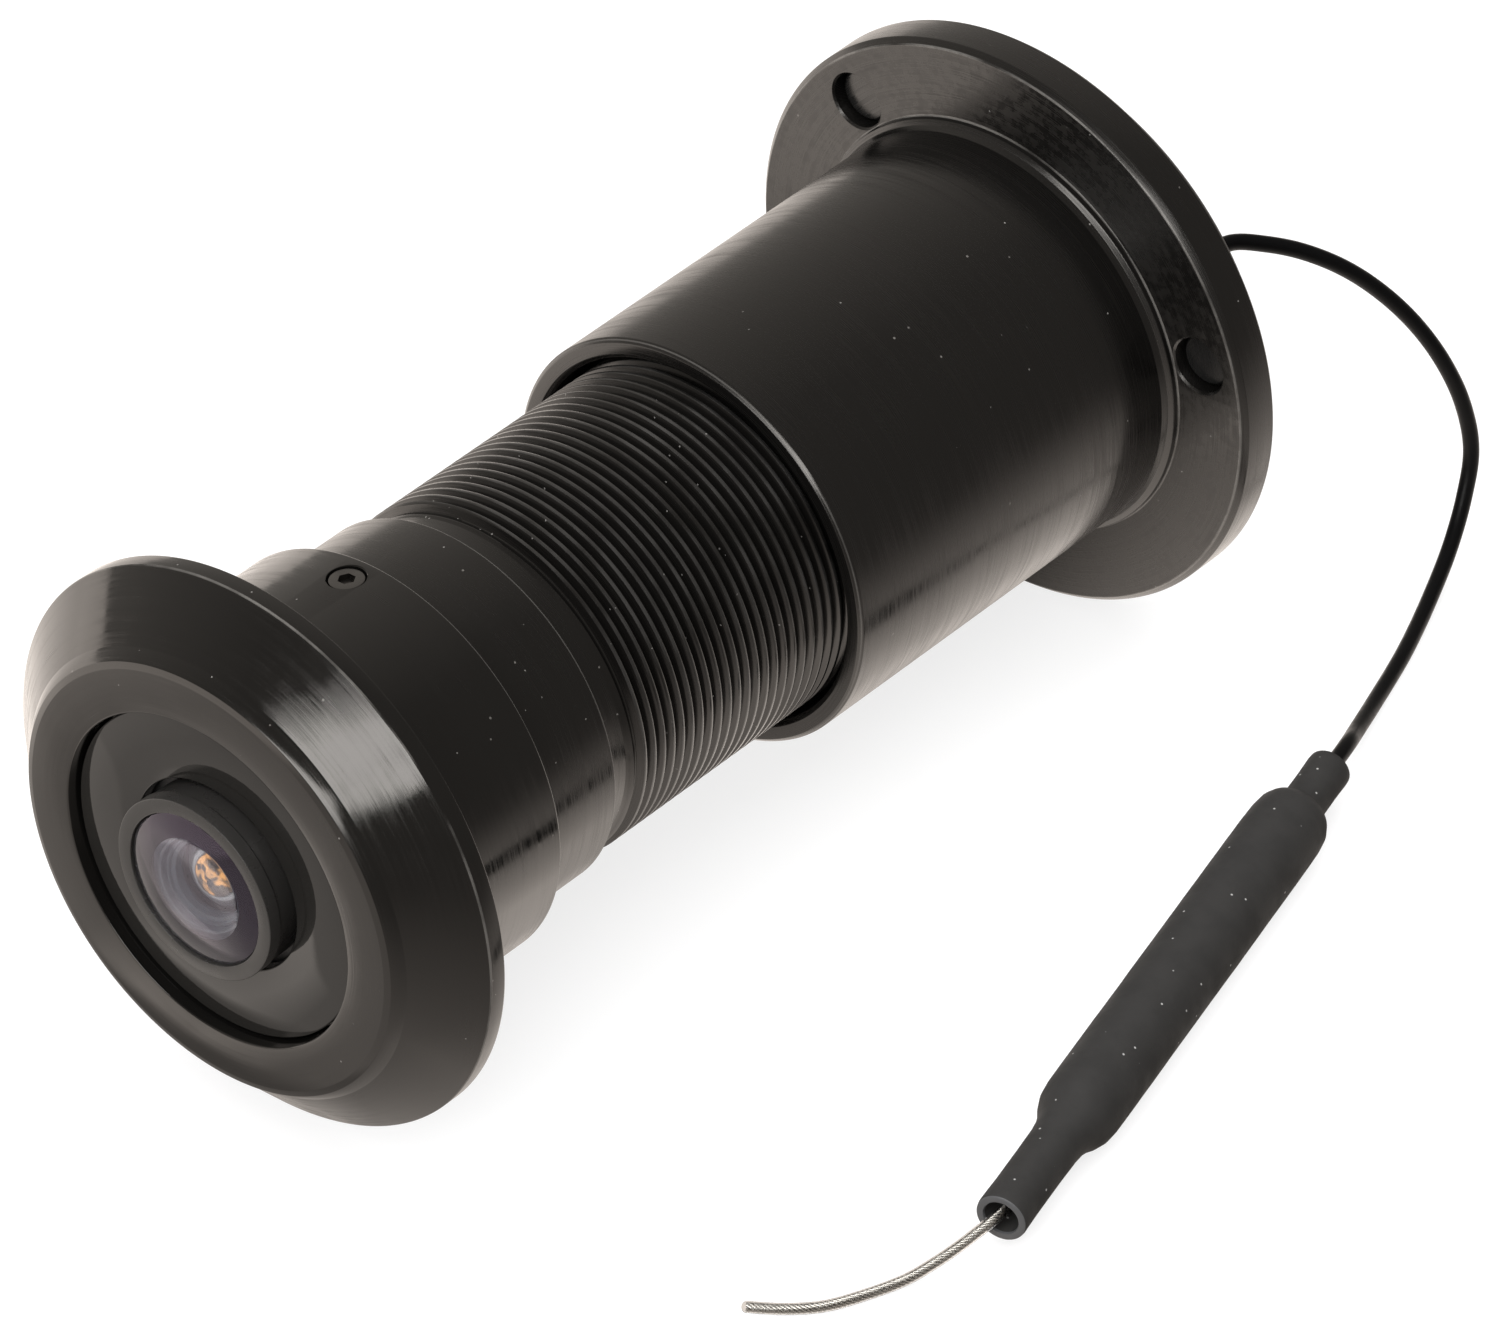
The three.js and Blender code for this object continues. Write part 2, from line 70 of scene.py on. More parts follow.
# ---- driving sizes, in millimetres
RIM_R = 20.0
SKIRT_R, SKIRT_END = 14.64, 12.4
NECK_R = 13.27
CREST_R, ROOT_R, PITCH = 12.82, 12.25, 0.9
SLEEVE_R, SLEEVE_MOUTH = 14.75, 41.02
FLANGE_R, FLANGE_FRONT, FLANGE_BACK = 20.93, 72.23, 75.43
COVER_FRONT, COVER_BACK = 75.73, 77.33
EXIT_X, EXIT_Z = 9.3, 4.6  # where the antenna lead leaves the cover
USB_Z = 2.43
BUTTON_X, BUTTON_Z = -7.2, 2.3
LED_X, LED_Z = 6.6, 2.2


def at(x, station, z=0.0):
    """A point given in millimetres from the axis and the rim, in the frame of the part."""
    return Vector((x * MM, RIM_Y + station * MM, AXIS_Z + z * MM))


def on_table(x, station, height):
    """A point given in millimetres from the axis and the rim, and by its height over the table."""
    return Vector((x * MM, RIM_Y + station * MM, height * MM))


# ---- camera and light
CAMERA_AZIMUTH = 41.1
CAMERA_ELEVATION = 38.71
CAMERA_DISTANCE = 0.694
CAMERA_AIM = at(18.78, 25.57, 8.8)
CAMERA_LENS = 266.86

# Radiance of the surroundings as reflections see them
ROOM_DIM, ROOM_PALE = 0.17, 0.50
ROOM_GLOW = (-0.9, 0.42, 0)
FLOOR_POOL, FLOOR_FRONT, FLOOR_DIM = 1.4, 0.38, 0.18
FADE_LENGTH = 0.035
LEFT, RIGHT, AHEAD, BEHIND = (-1, 0, 0), (1, 0, 0), (0, -1, 0), (0, 1, 0)
LAMP_AIM = at(5, 40)


def direction(azimuth, elevation):
    """Unit vector towards a viewpoint: azimuth 0 is in front (-Y), 90 is on the +X side."""
    a, e = radians(azimuth), radians(elevation)
    return Vector((sin(a) * cos(e), -cos(a) * cos(e), sin(e)))


def add_object(name, data):
    """A new object in the scene."""
    made = bpy.data.objects.new(name, data)
    bpy.context.scene.collection.objects.link(made)
    return made


def make_camera():
    """A long lens, well back, aimed at the middle of the viewer and its lead."""
    data = bpy.data.cameras.new("camera")
    data.lens = CAMERA_LENS
    data.sensor_width = 36
    data.clip_start = 0.01
    camera = add_object("camera", data)
    back = direction(CAMERA_AZIMUTH, CAMERA_ELEVATION)
    camera.location = CAMERA_AIM + back * CAMERA_DISTANCE
    camera.rotation_mode = "QUATERNION"
    camera.rotation_quaternion = (-back).to_track_quat("-Z", "Y")
    bpy.context.scene.camera = camera


def area_light(name, azimuth, elevation, distance, size, power, color, glossy=True):
    """A rectangular lamp that looks at the object; glossy says whether reflections show it."""
    data = bpy.data.lights.new(name, "AREA")
    data.shape = "RECTANGLE"
    data.size, data.size_y = size
    data.energy = power
    data.color = color
    lamp = add_object(name, data)
    towards = direction(azimuth, elevation)
    lamp.location = LAMP_AIM + towards * distance
    lamp.rotation_mode = "QUATERNION"
    lamp.rotation_quaternion = towards.to_track_quat("Z", "Y")
    lamp.visible_glossy = glossy
    lamp.visible_camera = False
    return lamp


def spare_from(lamp, *names):
    """Keeps one lamp's light off the named pieces."""
    spared = bpy.data.collections.new(lamp.name + "_spares")
    lamp.light_linking.receiver_collection = spared
    for name in names:
        spared.objects.link(bpy.data.objects[name])
    for entry in spared.collection_objects:
        entry.light_linking.link_state = "EXCLUDE"


def math_node(tree, operation, *values):
    """One operation chained over all the values, which are numbers or sockets."""
    total = values[0]
    for value in values[1:] or (None,):
        node = tree.nodes.new("ShaderNodeMath")
        node.operation = operation
        for socket, operand in zip(node.inputs, (total, value)):
            if isinstance(operand, (int, float)):
                socket.default_value = operand
            elif operand is not None:
                tree.links.new(operand, socket)
        total = node.outputs[0]
    return total


def map_range(tree, value, limits, kind):
    """A value carried from one range to another; limits are from low, from high, to low, to high."""
    node = tree.nodes.new("ShaderNodeMapRange")
    node.interpolation_type = kind
    tree.links.new(value, node.inputs["Value"])
    for name, limit in zip(("From Min", "From Max", "To Min", "To Max"), limits):
        node.inputs[name].default_value = limit
    return node.outputs["Result"]


def dot_ramp(tree, source, axis, *limits):
    """Value that changes with the direction or place along an axis."""
    dot = tree.nodes.new("ShaderNodeVectorMath")
    dot.operation = "DOT_PRODUCT"
    dot.inputs[1].default_value = axis
    tree.links.new(source, dot.inputs[0])
    return map_range(tree, dot.outputs["Value"], limits, "LINEAR")


def camera_split(tree, seen, reflected, out):
    """The camera sees one shader, and every reflection and bounce the other."""
    mix = tree.nodes.new("ShaderNodeMixShader")
    tree.links.new(tree.nodes.new("ShaderNodeLightPath").outputs["Is Camera Ray"], mix.inputs["Fac"])
    tree.links.new(reflected, mix.inputs[1])
    tree.links.new(seen, mix.inputs[2])
    tree.links.new(mix.outputs["Shader"], out)


def make_world():
    """A dim studio, paler towards the back left; plain white where the camera looks past the floor."""
    world = bpy.data.worlds.new("studio")
    bpy.context.scene.world = world
    world.use_nodes = True
    tree = world.node_tree
    tree.nodes.clear()
    coords = tree.nodes.new("ShaderNodeTexCoord").outputs["Generated"]
    room = tree.nodes.new("ShaderNodeBackground")
    room.inputs["Color"].default_value = (1, 0.93, 0.85, 1)
    tree.links.new(dot_ramp(tree, coords, ROOM_GLOW, 0, 1, ROOM_DIM, ROOM_PALE), room.inputs["Strength"])
    paper = tree.nodes.new("ShaderNodeBackground")
    out = tree.nodes.new("ShaderNodeOutputWorld")
    paper.inputs["Color"].default_value = (1, 1, 1, 1)
    camera_split(tree, paper.outputs["Background"], room.outputs["Background"], out.inputs["Surface"])


def floor_material():
    """White paper to the camera; reflections see a pool of light with shade under and beside the object."""
    material = bpy.data.materials.new("floor_paper")
    material.use_nodes = True
    tree = material.node_tree
    tree.nodes.clear()
    node, link_up = tree.nodes.new, tree.links.new
    place = node("ShaderNodeTexCoord").outputs["Object"]

    def combine(operation, *values):
        return math_node(tree, operation, *values)

    def along(axis, low, high, to_low=0, to_high=1):
        return dot_ramp(tree, place, axis, low, high, to_low, to_high)

    fade = combine("POWER", math.e, combine("MULTIPLY", along(RIGHT, 0.020, 0.370, 0, 0.350), -1 / FADE_LENGTH))
    spread = combine("ADD", along(BEHIND, -0.045, -0.015, FLOOR_FRONT), along(LEFT, 0.03, 0.06, 0, 0.62))
    # a brighter patch painted into the floor's glow ahead on the left, in place of a card, which only the ring plate
    # mirrors
    card = combine("MULTIPLY", along((-0.255, 1, 0), -0.0528, -0.0522), along(LEFT, 0.002, 0.008, 0, 0.6),
                   along(RIGHT, -0.020, -0.014, 0.25), along(AHEAD, 0.0463, 0.0478))
    under = combine("MAXIMUM", along(RIGHT, 0.009, 0.020, 0.4), along(LEFT, 0.012, 0.030),
                    along(AHEAD, 0.044, 0.048), along(BEHIND, -0.004, 0.010))
    beside = combine("MAXIMUM", along(RIGHT, 0, 0.012), along(AHEAD, -0.025, -0.010),
                     along(LEFT, 0.0370, 0.0385, 0, 0.8))
    pool = combine("MULTIPLY", fade, combine("ADD", combine("MINIMUM", spread, 1), card), under, beside)
    level = combine("ADD", combine("MULTIPLY", pool, FLOOR_POOL), FLOOR_DIM)
    glow, white, paper = [node("ShaderNode" + kind) for kind in ("Emission", "Emission", "BsdfDiffuse")]
    seen, out = node("ShaderNodeAddShader"), node("ShaderNodeOutputMaterial")
    glow.inputs["Color"].default_value = (1, 0.91, 0.835, 1)
    link_up(level, glow.inputs["Strength"])
    white.inputs["Strength"].default_value = 0.80
    paper.inputs["Color"].default_value = (0.24, 0.24, 0.245, 1)
    link_up(white.outputs[0], seen.inputs[0])
    link_up(paper.outputs[0], seen.inputs[1])
    camera_split(tree, seen.outputs[0], glow.outputs[0], out.inputs["Surface"])
    return material


def make_stage():
    """The floor, a hair under the object, and three lamps."""
    half, low = 1.5, -0.00006
    corners = [(-half, -half, low), (half, -half, low), (half, half, low), (-half, half, low)]
    mesh = bpy.data.meshes.new("floor")
    mesh.from_pydata(corners, [], [(0, 1, 2, 3)])
    floor = add_object("floor", mesh)
    mesh.materials.append(floor_material())
    area_light("top_soft", azimuth=0, elevation=89, distance=1.1, size=(1.6, 1.6), power=26,
               color=(1, 0.99, 0.98), glossy=False)
    area_light("front_soft", azimuth=20, elevation=40, distance=1.2, size=(0.7, 0.7), power=9,
               color=(1, 0.98, 0.96), glossy=False)
    strip = area_light("strip_box", azimuth=10.5, elevation=25, distance=0.9, size=(0.66, 0.28), power=3.5,
                       color=(1, 0.99, 0.97))
    spare_from(strip, "screwed_barrel")
    view = bpy.context.scene.view_settings
    view.view_transform = "Standard"
    view.look = "None"


# ---- materials
class Material:
    """A Principled material that is built up by layers of procedural detail."""

    def __init__(self, name, color, roughness, metallic=0.0, ior=1.5):
        self.material = bpy.data.materials.new(name)
        self.material.use_nodes = True
        self.tree = self.material.node_tree
        self.bsdf = self.tree.nodes["Principled BSDF"]
        self.bsdf.inputs["Metallic"].default_value = metallic
        self.bsdf.inputs["IOR"].default_value = ior
        self.base = tuple(color) + (1,)
        self.color = None
        self.rough = roughness
        self.rough_socket = None
        self.normal = None
        self.polar_values = None
        self.coords = self.node("TexCoord").outputs["Object"]

    def node(self, kind, **settings):
        n = self.tree.nodes.new("ShaderNode" + kind)
        for key, value in settings.items():
            setattr(n, key, value)
        return n

    def link(self, a, b):
        self.tree.links.new(a, b)

    def math(self, operation, *values):
        return math_node(self.tree, operation, *values)

    def ramp(self, value, low, high, to_low=0.0, to_high=1.0):
        return map_range(self.tree, value, (low, high, to_low, to_high), "SMOOTHSTEP")

    def away(self, value, target):
        """How far a value is from a target, either way."""
        return self.math("ABSOLUTE", self.math("SUBTRACT", value, target))

    def noise(self, scale, detail=3, vector=None, distortion=0.0):
        n = self.node("TexNoise")
        n.inputs["Scale"].default_value = scale
        n.inputs["Detail"].default_value = detail
        n.inputs["Distortion"].default_value = distortion
        self.link(vector or self.coords, n.inputs["Vector"])
        return n.outputs["Fac"]

    def turned(self):
        """Vector that varies slowly round the viewer's axis and fast across the turning marks."""
        r, y = self.polar()
        slow = self.node("VectorMath", operation="MULTIPLY")
        slow.inputs[1].default_value = (0.02, 0, 0.02)
        self.link(self.coords, slow.inputs[0])
        across = self.node("CombineXYZ")
        self.link(self.math("ADD", self.math("MULTIPLY", r, 1.6), y), across.inputs["Y"])
        both = self.node("VectorMath", operation="ADD")
        self.link(slow.outputs[0], both.inputs[0])
        self.link(across.outputs[0], both.inputs[1])
        return both.outputs[0]

    def mix(self, factor, other):
        """Lays another colour over the colour so far, by a factor socket."""
        n = self.node("Mix", data_type="RGBA")
        self.link(factor, n.inputs["Factor"])
        if self.color is None:
            n.inputs["A"].default_value = self.base
        else:
            self.link(self.color, n.inputs["A"])
        n.inputs["B"].default_value = tuple(other) + (1,)
        self.color = n.outputs["Result"]

    def add_rough(self, value):
        self.rough_socket = value if self.rough_socket is None else self.math("ADD", self.rough_socket, value)

    def bump(self, height, strength, distance):
        n = self.node("Bump")
        n.inputs["Strength"].default_value = strength
        n.inputs["Distance"].default_value = distance
        self.link(height, n.inputs["Height"])
        if self.normal is not None:
            self.link(self.normal, n.inputs["Normal"])
        self.normal = n.outputs["Normal"]

    # ---- layers
    def mottle(self, scale, amount, dark=0.55, vector=None):
        """Cloudy variation of colour and gloss."""
        cloud = self.noise(scale, 4, vector)
        self.mix(self.ramp(cloud, 0.35, 0.7, 0, amount * 4), [c * dark for c in self.base[:3]])
        self.add_rough(self.ramp(cloud, 0.3, 0.7, -amount, amount))

    def turning_marks(self, strength=0.25, fine=9000, coarse=1500):
        """Concentric tool marks, finer and coarser, in gloss and in relief."""
        vector = self.turned()
        thin = self.noise(fine, 2, vector)
        wide = self.noise(coarse, 3, vector)
        self.add_rough(self.ramp(thin, 0.3, 0.7, -0.05, 0.05))
        self.add_rough(self.ramp(wide, 0.35, 0.65, -0.03, 0.03))
        both = self.math("ADD", self.math("MULTIPLY", thin, 0.6), wide)
        self.bump(both, strength, 0.000012)

    def grain(self, scale, strength, distance=0.00001):
        self.bump(self.noise(scale, 2), strength, distance)

    def specks(self, scale, share, color, size=0.22):
        """Sparse pale specks: dust, nicks and pores."""
        cells = self.node("TexVoronoi")
        cells.inputs["Scale"].default_value = scale
        self.link(self.coords, cells.inputs["Vector"])
        near = self.ramp(cells.outputs["Distance"], size, size * 0.5)
        split = self.node("SeparateColor")
        self.link(cells.outputs["Color"], split.inputs[0])
        chosen = self.math("LESS_THAN", split.outputs[0], share)
        self.mix(self.math("MULTIPLY", near, chosen), color)

    def polar(self):
        """Radius and station of the shaded point, both in metres."""
        if self.polar_values is None:
            split = self.node("SeparateXYZ")
            self.link(self.coords, split.inputs[0])
            up = self.math("SUBTRACT", split.outputs["Z"], AXIS_Z)
            station = self.math("SUBTRACT", split.outputs["Y"], RIM_Y)
            self.polar_values = (self.hypotenuse(split.outputs["X"], up), station)
        return self.polar_values

    def hypotenuse(self, a, b):
        return self.math("SQRT", self.math("ADD", self.math("MULTIPLY", a, a), self.math("MULTIPLY", b, b)))

    def worn_and_highlit_ring(self, radius, station, spared=0.45, width=0.12, color=(0.085, 0.082, 0.078)):
        """Paler metal along one turned edge: bare wear in broken lengths, and a painted edge highlight."""
        r, y = self.polar()
        away = self.hypotenuse(self.math("SUBTRACT", r, radius * MM), self.math("SUBTRACT", y, station * MM))
        near = self.ramp(away, width * MM, width * 0.45 * MM)
        broken = self.ramp(self.noise(160, 6), spared - 0.1, spared + 0.15)
        # paler colour along the edge: partly wear, partly a painted highlight where the edge catches the light
        self.mix(self.math("MULTIPLY", near, broken), color)

    def crest_wear_and_highlight(self, radius, color=(0.028, 0.0275, 0.027)):
        """Thread crests a little paler, as rubbing and as a painted thin highlight along them, with bare specks."""
        over = self.ramp(self.away(self.polar()[0], radius * MM), 0.00003, 0.00001)
        # paler crests: partly rubbing, partly a painted highlight along each crest
        self.mix(self.math("MULTIPLY", over, self.ramp(self.noise(260, 5), 0.30, 0.75)), color)
        self.specks(2100, 0.05, (0.16, 0.155, 0.15), size=0.16)

    def coarse_face(self, station, radius):
        """A mottled, duller skin on one flat face."""
        r, y = self.polar()
        on_face = self.math("MULTIPLY", self.ramp(self.away(y, station * MM), 0.00008, 0.00003),
                            self.math("GREATER_THAN", r, radius * MM))
        cloud = self.noise(1500, 5)
        self.mix(self.math("MULTIPLY", on_face, self.ramp(cloud, 0.42, 0.62, 0, 0.4)), (0.007, 0.0066, 0.0062))
        self.add_rough(self.math("MULTIPLY", on_face, self.ramp(cloud, 0.35, 0.65, -0.02, 0.08)))

    def set(self, **values):
        """Plain values for shader inputs, named with _ for their spaces."""
        for name, value in values.items():
            self.bsdf.inputs[name.replace("_", " ")].default_value = value
        return self

    def done(self):
        """Connects the layers to the shader."""
        if self.color is None:
            self.bsdf.inputs["Base Color"].default_value = self.base
        else:
            self.link(self.color, self.bsdf.inputs["Base Color"])
        if self.rough_socket is None:
            self.bsdf.inputs["Roughness"].default_value = self.rough
        else:
            total = self.math("ADD", self.rough_socket, self.rough)
            self.link(self.ramp(total, 0.02, 0.98, 0.02, 0.98), self.bsdf.inputs["Roughness"])
        if self.normal is not None:
            self.link(self.normal, self.bsdf.inputs["Normal"])
        return self.material


def black_anodised(name, roughness, color=(0.0038, 0.0036, 0.0034), marks=0.25, blotch=0.02, worn_highlit_edges=(),
                   crest=None, face=None):
    """Turned aluminium under a black anodic film: a dark, glassy skin over fine tool marks.

    The worn edges, given as (radius, station, share spared), are painted paler, as bare wear and a painted edge
    highlight; crest is the radius of thread crests painted paler in the same way, and face is the (station, inner
    radius) of a flat face with a mottled skin.
    """
    m = Material(name, color, roughness, ior=1.62)
    m.mottle(320, blotch)
    m.turning_marks(marks)
    m.grain(14000, 0.06)
    m.specks(1300, 0.012, (0.10, 0.095, 0.09), size=0.14)
    m.specks(2600, 0.006, (0.16, 0.155, 0.15), size=0.2)
    # edges painted paler, as wear and as painted highlights
    for ring in worn_highlit_edges:
        m.worn_and_highlit_ring(*ring)
    if crest:
        m.crest_wear_and_highlight(crest)
    if face:
        m.coarse_face(*face)
    m.set(Specular_Tint=(1, 0.97, 0.94, 1))
    return m.done()


def flat_black(name, color=(0.012, 0.012, 0.012), roughness=0.5, grain=0.2, scale=6000, ior=1.5):
    """Matt black or dark grey with a fine grain: moulded plastic, rubber or paint."""
    m = Material(name, color, roughness, ior=ior)
    m.mottle(500, 0.03)
    m.grain(scale, grain, 0.00002)
    return m.done()


def plain_metal(name, color, roughness):
    """Bare or plated metal with tool marks and small dull specks."""
    m = Material(name, color, roughness, metallic=1.0)
    m.mottle(700, 0.05, dark=0.75)
    m.turning_marks(0.15)
    m.specks(1500, 0.02, [c * 0.4 for c in color])
    return m.done()


def lens_glass(name, tint, color=(0.93, 0.95, 1.0), mirror=0.5):
    """Polished optical glass; mirror is the strength of its coating's reflection (0.5 is bare glass)."""
    m = Material(name, color, 0.03)
    m.specks(900, 0.02, (0.75, 0.75, 0.78), size=0.06)
    m.add_rough(m.ramp(m.noise(700, 2), 0.3, 0.7, -0.01, 0.01))
    m.set(Transmission_Weight=1.0, Specular_Tint=tuple(tint) + (1,), Specular_IOR_Level=mirror)
    return m.done()


def deep_glass(name):
    """The second lens as seen through the dome: smoky glass, a little paler in the middle, with a pale painted
    highlight ring and a painted amber reflection over a brownish middle.
    """
    m = Material(name, (0.012, 0.012, 0.014), 0.3, ior=1.25)
    r, _ = m.polar()
    m.mix(m.ramp(r, 0.00225, 0.00215), (0.028, 0.029, 0.031))
    # a pale ring painted in as a highlight
    m.mix(m.ramp(m.away(r, 0.00150), 0.00020, 0.00008), (0.20, 0.20, 0.205))
    glint_disc = m.ramp(r, 0.00130, 0.00122)
    # a brownish middle with amber patches: a painted amber reflection
    m.mix(glint_disc, (0.055, 0.042, 0.032))
    m.mix(m.math("MULTIPLY", glint_disc, m.ramp(m.noise(950, 3), 0.48, 0.60)), (0.55, 0.27, 0.09))
    m.mix(m.math("MULTIPLY", glint_disc, m.ramp(m.noise(1300, 2, distortion=0.4), 0.60, 0.66)), (0.01, 0.01, 0.01))
    return m.done()


def circuit_board():
    """Green solder mask with faint copper tracks and small gold pads."""
    m = Material("solder_mask", (0.008, 0.075, 0.035), 0.32)
    tracks = m.node("TexBrick")
    tracks.inputs["Scale"].default_value = 420
    tracks.inputs["Mortar Size"].default_value = 0.08
    m.link(m.coords, tracks.inputs["Vector"])
    m.mix(m.math("MULTIPLY", tracks.outputs["Fac"], 0.55), (0.02, 0.16, 0.07))
    m.specks(650, 0.12, (0.72, 0.52, 0.2), size=0.28)
    m.bump(tracks.outputs["Fac"], 0.2, 0.00003)
    m.mottle(300, 0.03)
    return m.done()


def coax_jacket():
    """Matt black jacket of the antenna lead."""
    m = Material("coax_jacket", (0.0025, 0.0025, 0.0027), 0.4, ior=1.22)
    m.mottle(900, 0.05)
    m.grain(2500, 0.25, 0.00002)
    return m.done()


def heat_shrink():
    """Dull shrunk plastic with a fine skin, soft dimples and dust."""
    m = Material("heat_shrink", (0.026, 0.0255, 0.0252), 0.62, ior=1.24)
    m.mottle(450, 0.06, dark=0.6)
    m.grain(9000, 0.35, 0.00002)
    m.grain(1800, 0.25, 0.00003)
    m.specks(1500, 0.16, (0.32, 0.32, 0.32), size=0.15)
    return m.done()


def clear_jacket():
    """Thin clear plastic over the radiator's strands."""
    m = Material("clear_jacket", (0.96, 0.955, 0.94), 0.22, ior=1.36)
    m.grain(1200, 0.2, 0.00003)
    m.set(Transmission_Weight=1.0)
    return m.done()


def amber_film():
    """Polyimide film of the ribbon."""
    m = Material("amber_film", (0.55, 0.24, 0.04), 0.22)
    m.mottle(600, 0.05, dark=0.7)
    m.grain(2500, 0.15, 0.00002)
    return m.done()


def clear_led():
    """Water-clear light guide."""
    m = Material("clear_led", (0.9, 0.95, 0.93), 0.08)
    m.grain(2500, 0.1)
    m.set(Transmission_Weight=0.9)
    return m.done()


# ---- mesh helpers
def coat(mesh, material, sharp):
    """One material all over, and smooth shading that breaks at edges sharper than the given angle."""
    mesh.materials.clear()
    mesh.materials.append(material)
    mesh.polygons.foreach_set("material_index", [0] * len(mesh.polygons))
    mesh.polygons.foreach_set("use_smooth", [True] * len(mesh.polygons))
    mesh.set_sharp_from_angle(angle=radians(sharp))


def link(name, mesh, material, sharp=35):
    """Makes a piece of a mesh."""
    coat(mesh, material, sharp)
    return add_object(name, mesh)


def softened(profile, radius, steps=3, closed=True):
    """Rounds every corner of a (radius, station) outline, by an arc no longer than its edges allow."""
    points = [Vector(p) for p in profile]
    count = len(points)
    out = []
    for i, corner in enumerate(points):
        before, after = points[i - 1] - corner, points[(i + 1) % count] - corner
        pinned = corner.x == 0 or (not closed and i in (0, count - 1)) or min(before.length, after.length) < 1e-6
        turn = 0 if pinned else math.pi - before.angle(after)
        reach = min(radius * math.tan(turn / 2), before.length * 0.45, after.length * 0.45)
        if turn < 0.2 or reach < 1e-4:
            out.append(tuple(corner))
            continue
        start, end = corner + before.normalized() * reach, corner + after.normalized() * reach
        for k in range(steps + 1):
            t = k / steps
            out.append(tuple((1 - t) ** 2 * start + 2 * t * (1 - t) * corner + t * t * end))
    return out


def baked(mesh, bm):
    """Writes a finished bmesh into a mesh."""
    bm.to_mesh(mesh)
    bm.free()
    return mesh


def solid(name, verts, faces):
    """Mesh of points and faces, with doubled points merged and all faces turned outward."""
    mesh = bpy.data.meshes.new(name)
    mesh.from_pydata(verts, [], faces)
    bm = bmesh.new()
    bm.from_mesh(mesh)
    bmesh.ops.remove_doubles(bm, verts=bm.verts, dist=1e-8)
    bmesh.ops.recalc_face_normals(bm, faces=bm.faces)
    if bm.calc_volume(signed=True) < 0:
        bmesh.ops.reverse_faces(bm, faces=bm.faces)
    return baked(mesh, bm)


def loft(name, rings):
    """Solid over a row of rings with as many points each, capped at both ends."""
    n, last = len(rings[0]), len(rings) - 1
    faces = [(i * n + k, i * n + (k + 1) % n, (i + 1) * n + (k + 1) % n, (i + 1) * n + k)
             for i in range(last) for k in range(n)]
    caps = [list(range(n)), list(range(last * n, last * n + n))]
    return solid(name, [p for ring in rings for p in ring], faces + caps)



def revolve(profile, segments, place, closed=True):
    """Mesh of a closed outline turned about its axis; place(radius, angle, station) gives each point."""
    verts, faces, rings = [], [], []
    for r, y in profile:
        if r < 1e-7:
            rings.append([len(verts)] * segments)
            verts.append(place(0, 0, y))
        else:
            rings.append(list(range(len(verts), len(verts) + segments)))
            verts += [place(r, TAU * k / segments, y) for k in range(segments)]
    pairs = list(zip(rings, rings[1:])) + ([(rings[-1], rings[0])] if closed else [])
    for a, b in pairs:
        for k in range(segments):
            j = (k + 1) % segments
            face = list(dict.fromkeys((a[k], a[j], b[j], b[k])))
            if len(face) > 2:
                faces.append(face)
    return solid("turned", verts, faces)


def axial(x=0.0, z=0.0):
    """Placing function for pieces turned about a line parallel to the viewer's axis."""
    return lambda r, a, y: at(x + r * cos(a), y, z + r * sin(a))


def turned(name, profile, material, soft=0.08, segments=160, x=0.0, z=0.0):
    """A piece turned from a profile; one that starts and ends on its axis is left open there."""
    loop = profile[0][0] > 0 or profile[-1][0] > 0
    outline = softened(profile, soft, closed=loop)
    return link(name, revolve(outline, segments, axial(x, z), loop), material)


def add_block(bm, middle, size):
    """Adds a block, in millimetres from the axis and rim."""
    for v in bmesh.ops.create_cube(bm, size=1)["verts"]:
        v.co = at(*(m + c * s for m, c, s in zip(middle, v.co, size)))


def box_mesh(name, low, high, material, bevel=0.1):
    """A block between two corners, in millimetres from the axis and rim, with rounded edges."""
    bm = bmesh.new()
    add_block(bm, [(h + l) / 2 for l, h in zip(low, high)], [h - l for l, h in zip(low, high)])
    bmesh.ops.bevel(bm, geom=bm.edges[:], offset=bevel * MM, segments=3, affect="EDGES", profile=0.5)
    return link(name, baked(bpy.data.meshes.new(name), bm), material)


def contacts(name, places, size, material, body):
    """Flat contacts, one at each place."""
    bm = bmesh.new()
    for place in places:
        add_block(bm, place, size)
    return ready(link(name, baked(bpy.data.meshes.new(name), bm), material), body, "gold")


def stadium_mesh(name, width, height, y0, y1, material, steps=16):
    """A bar of round-ended section along the axis, at the height of the USB inlet."""
    r, flat = height / 2, width / 2 - height / 2
    turns = [math.pi * k / steps for k in range(steps + 1)]
    half = [(flat + r * sin(a), -r * cos(a)) for a in turns]
    outline = half + [(-x, -up) for x, up in half]
    return link(name, loft(name, [[at(x, y, USB_Z + up) for x, up in outline] for y in (y0, y1)]), material)


def cut(piece, *cutters, sharp=35):
    """Cuts the cutters out of the piece and removes them."""
    for cutter in cutters:
        modifier = piece.modifiers.new("cut", "BOOLEAN")
        modifier.operation = "DIFFERENCE"
        modifier.solver = "EXACT"
        modifier.object = cutter
    bpy.context.view_layer.update()
    graph = bpy.context.evaluated_depsgraph_get()
    mesh = bpy.data.meshes.new_from_object(piece.evaluated_get(graph))
    piece.modifiers.clear()
    coat(mesh, piece.data.materials[0], sharp)
    piece.data = mesh
    for cutter in cutters:
        bpy.data.objects.remove(cutter)
    return piece


def ready(piece, body, slot, *nodes):
    """Rides on its body and stands for its CAD nodes, which it hides; slot is not used."""
    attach(piece, body)
    if nodes:
        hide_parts(*nodes)
    return piece


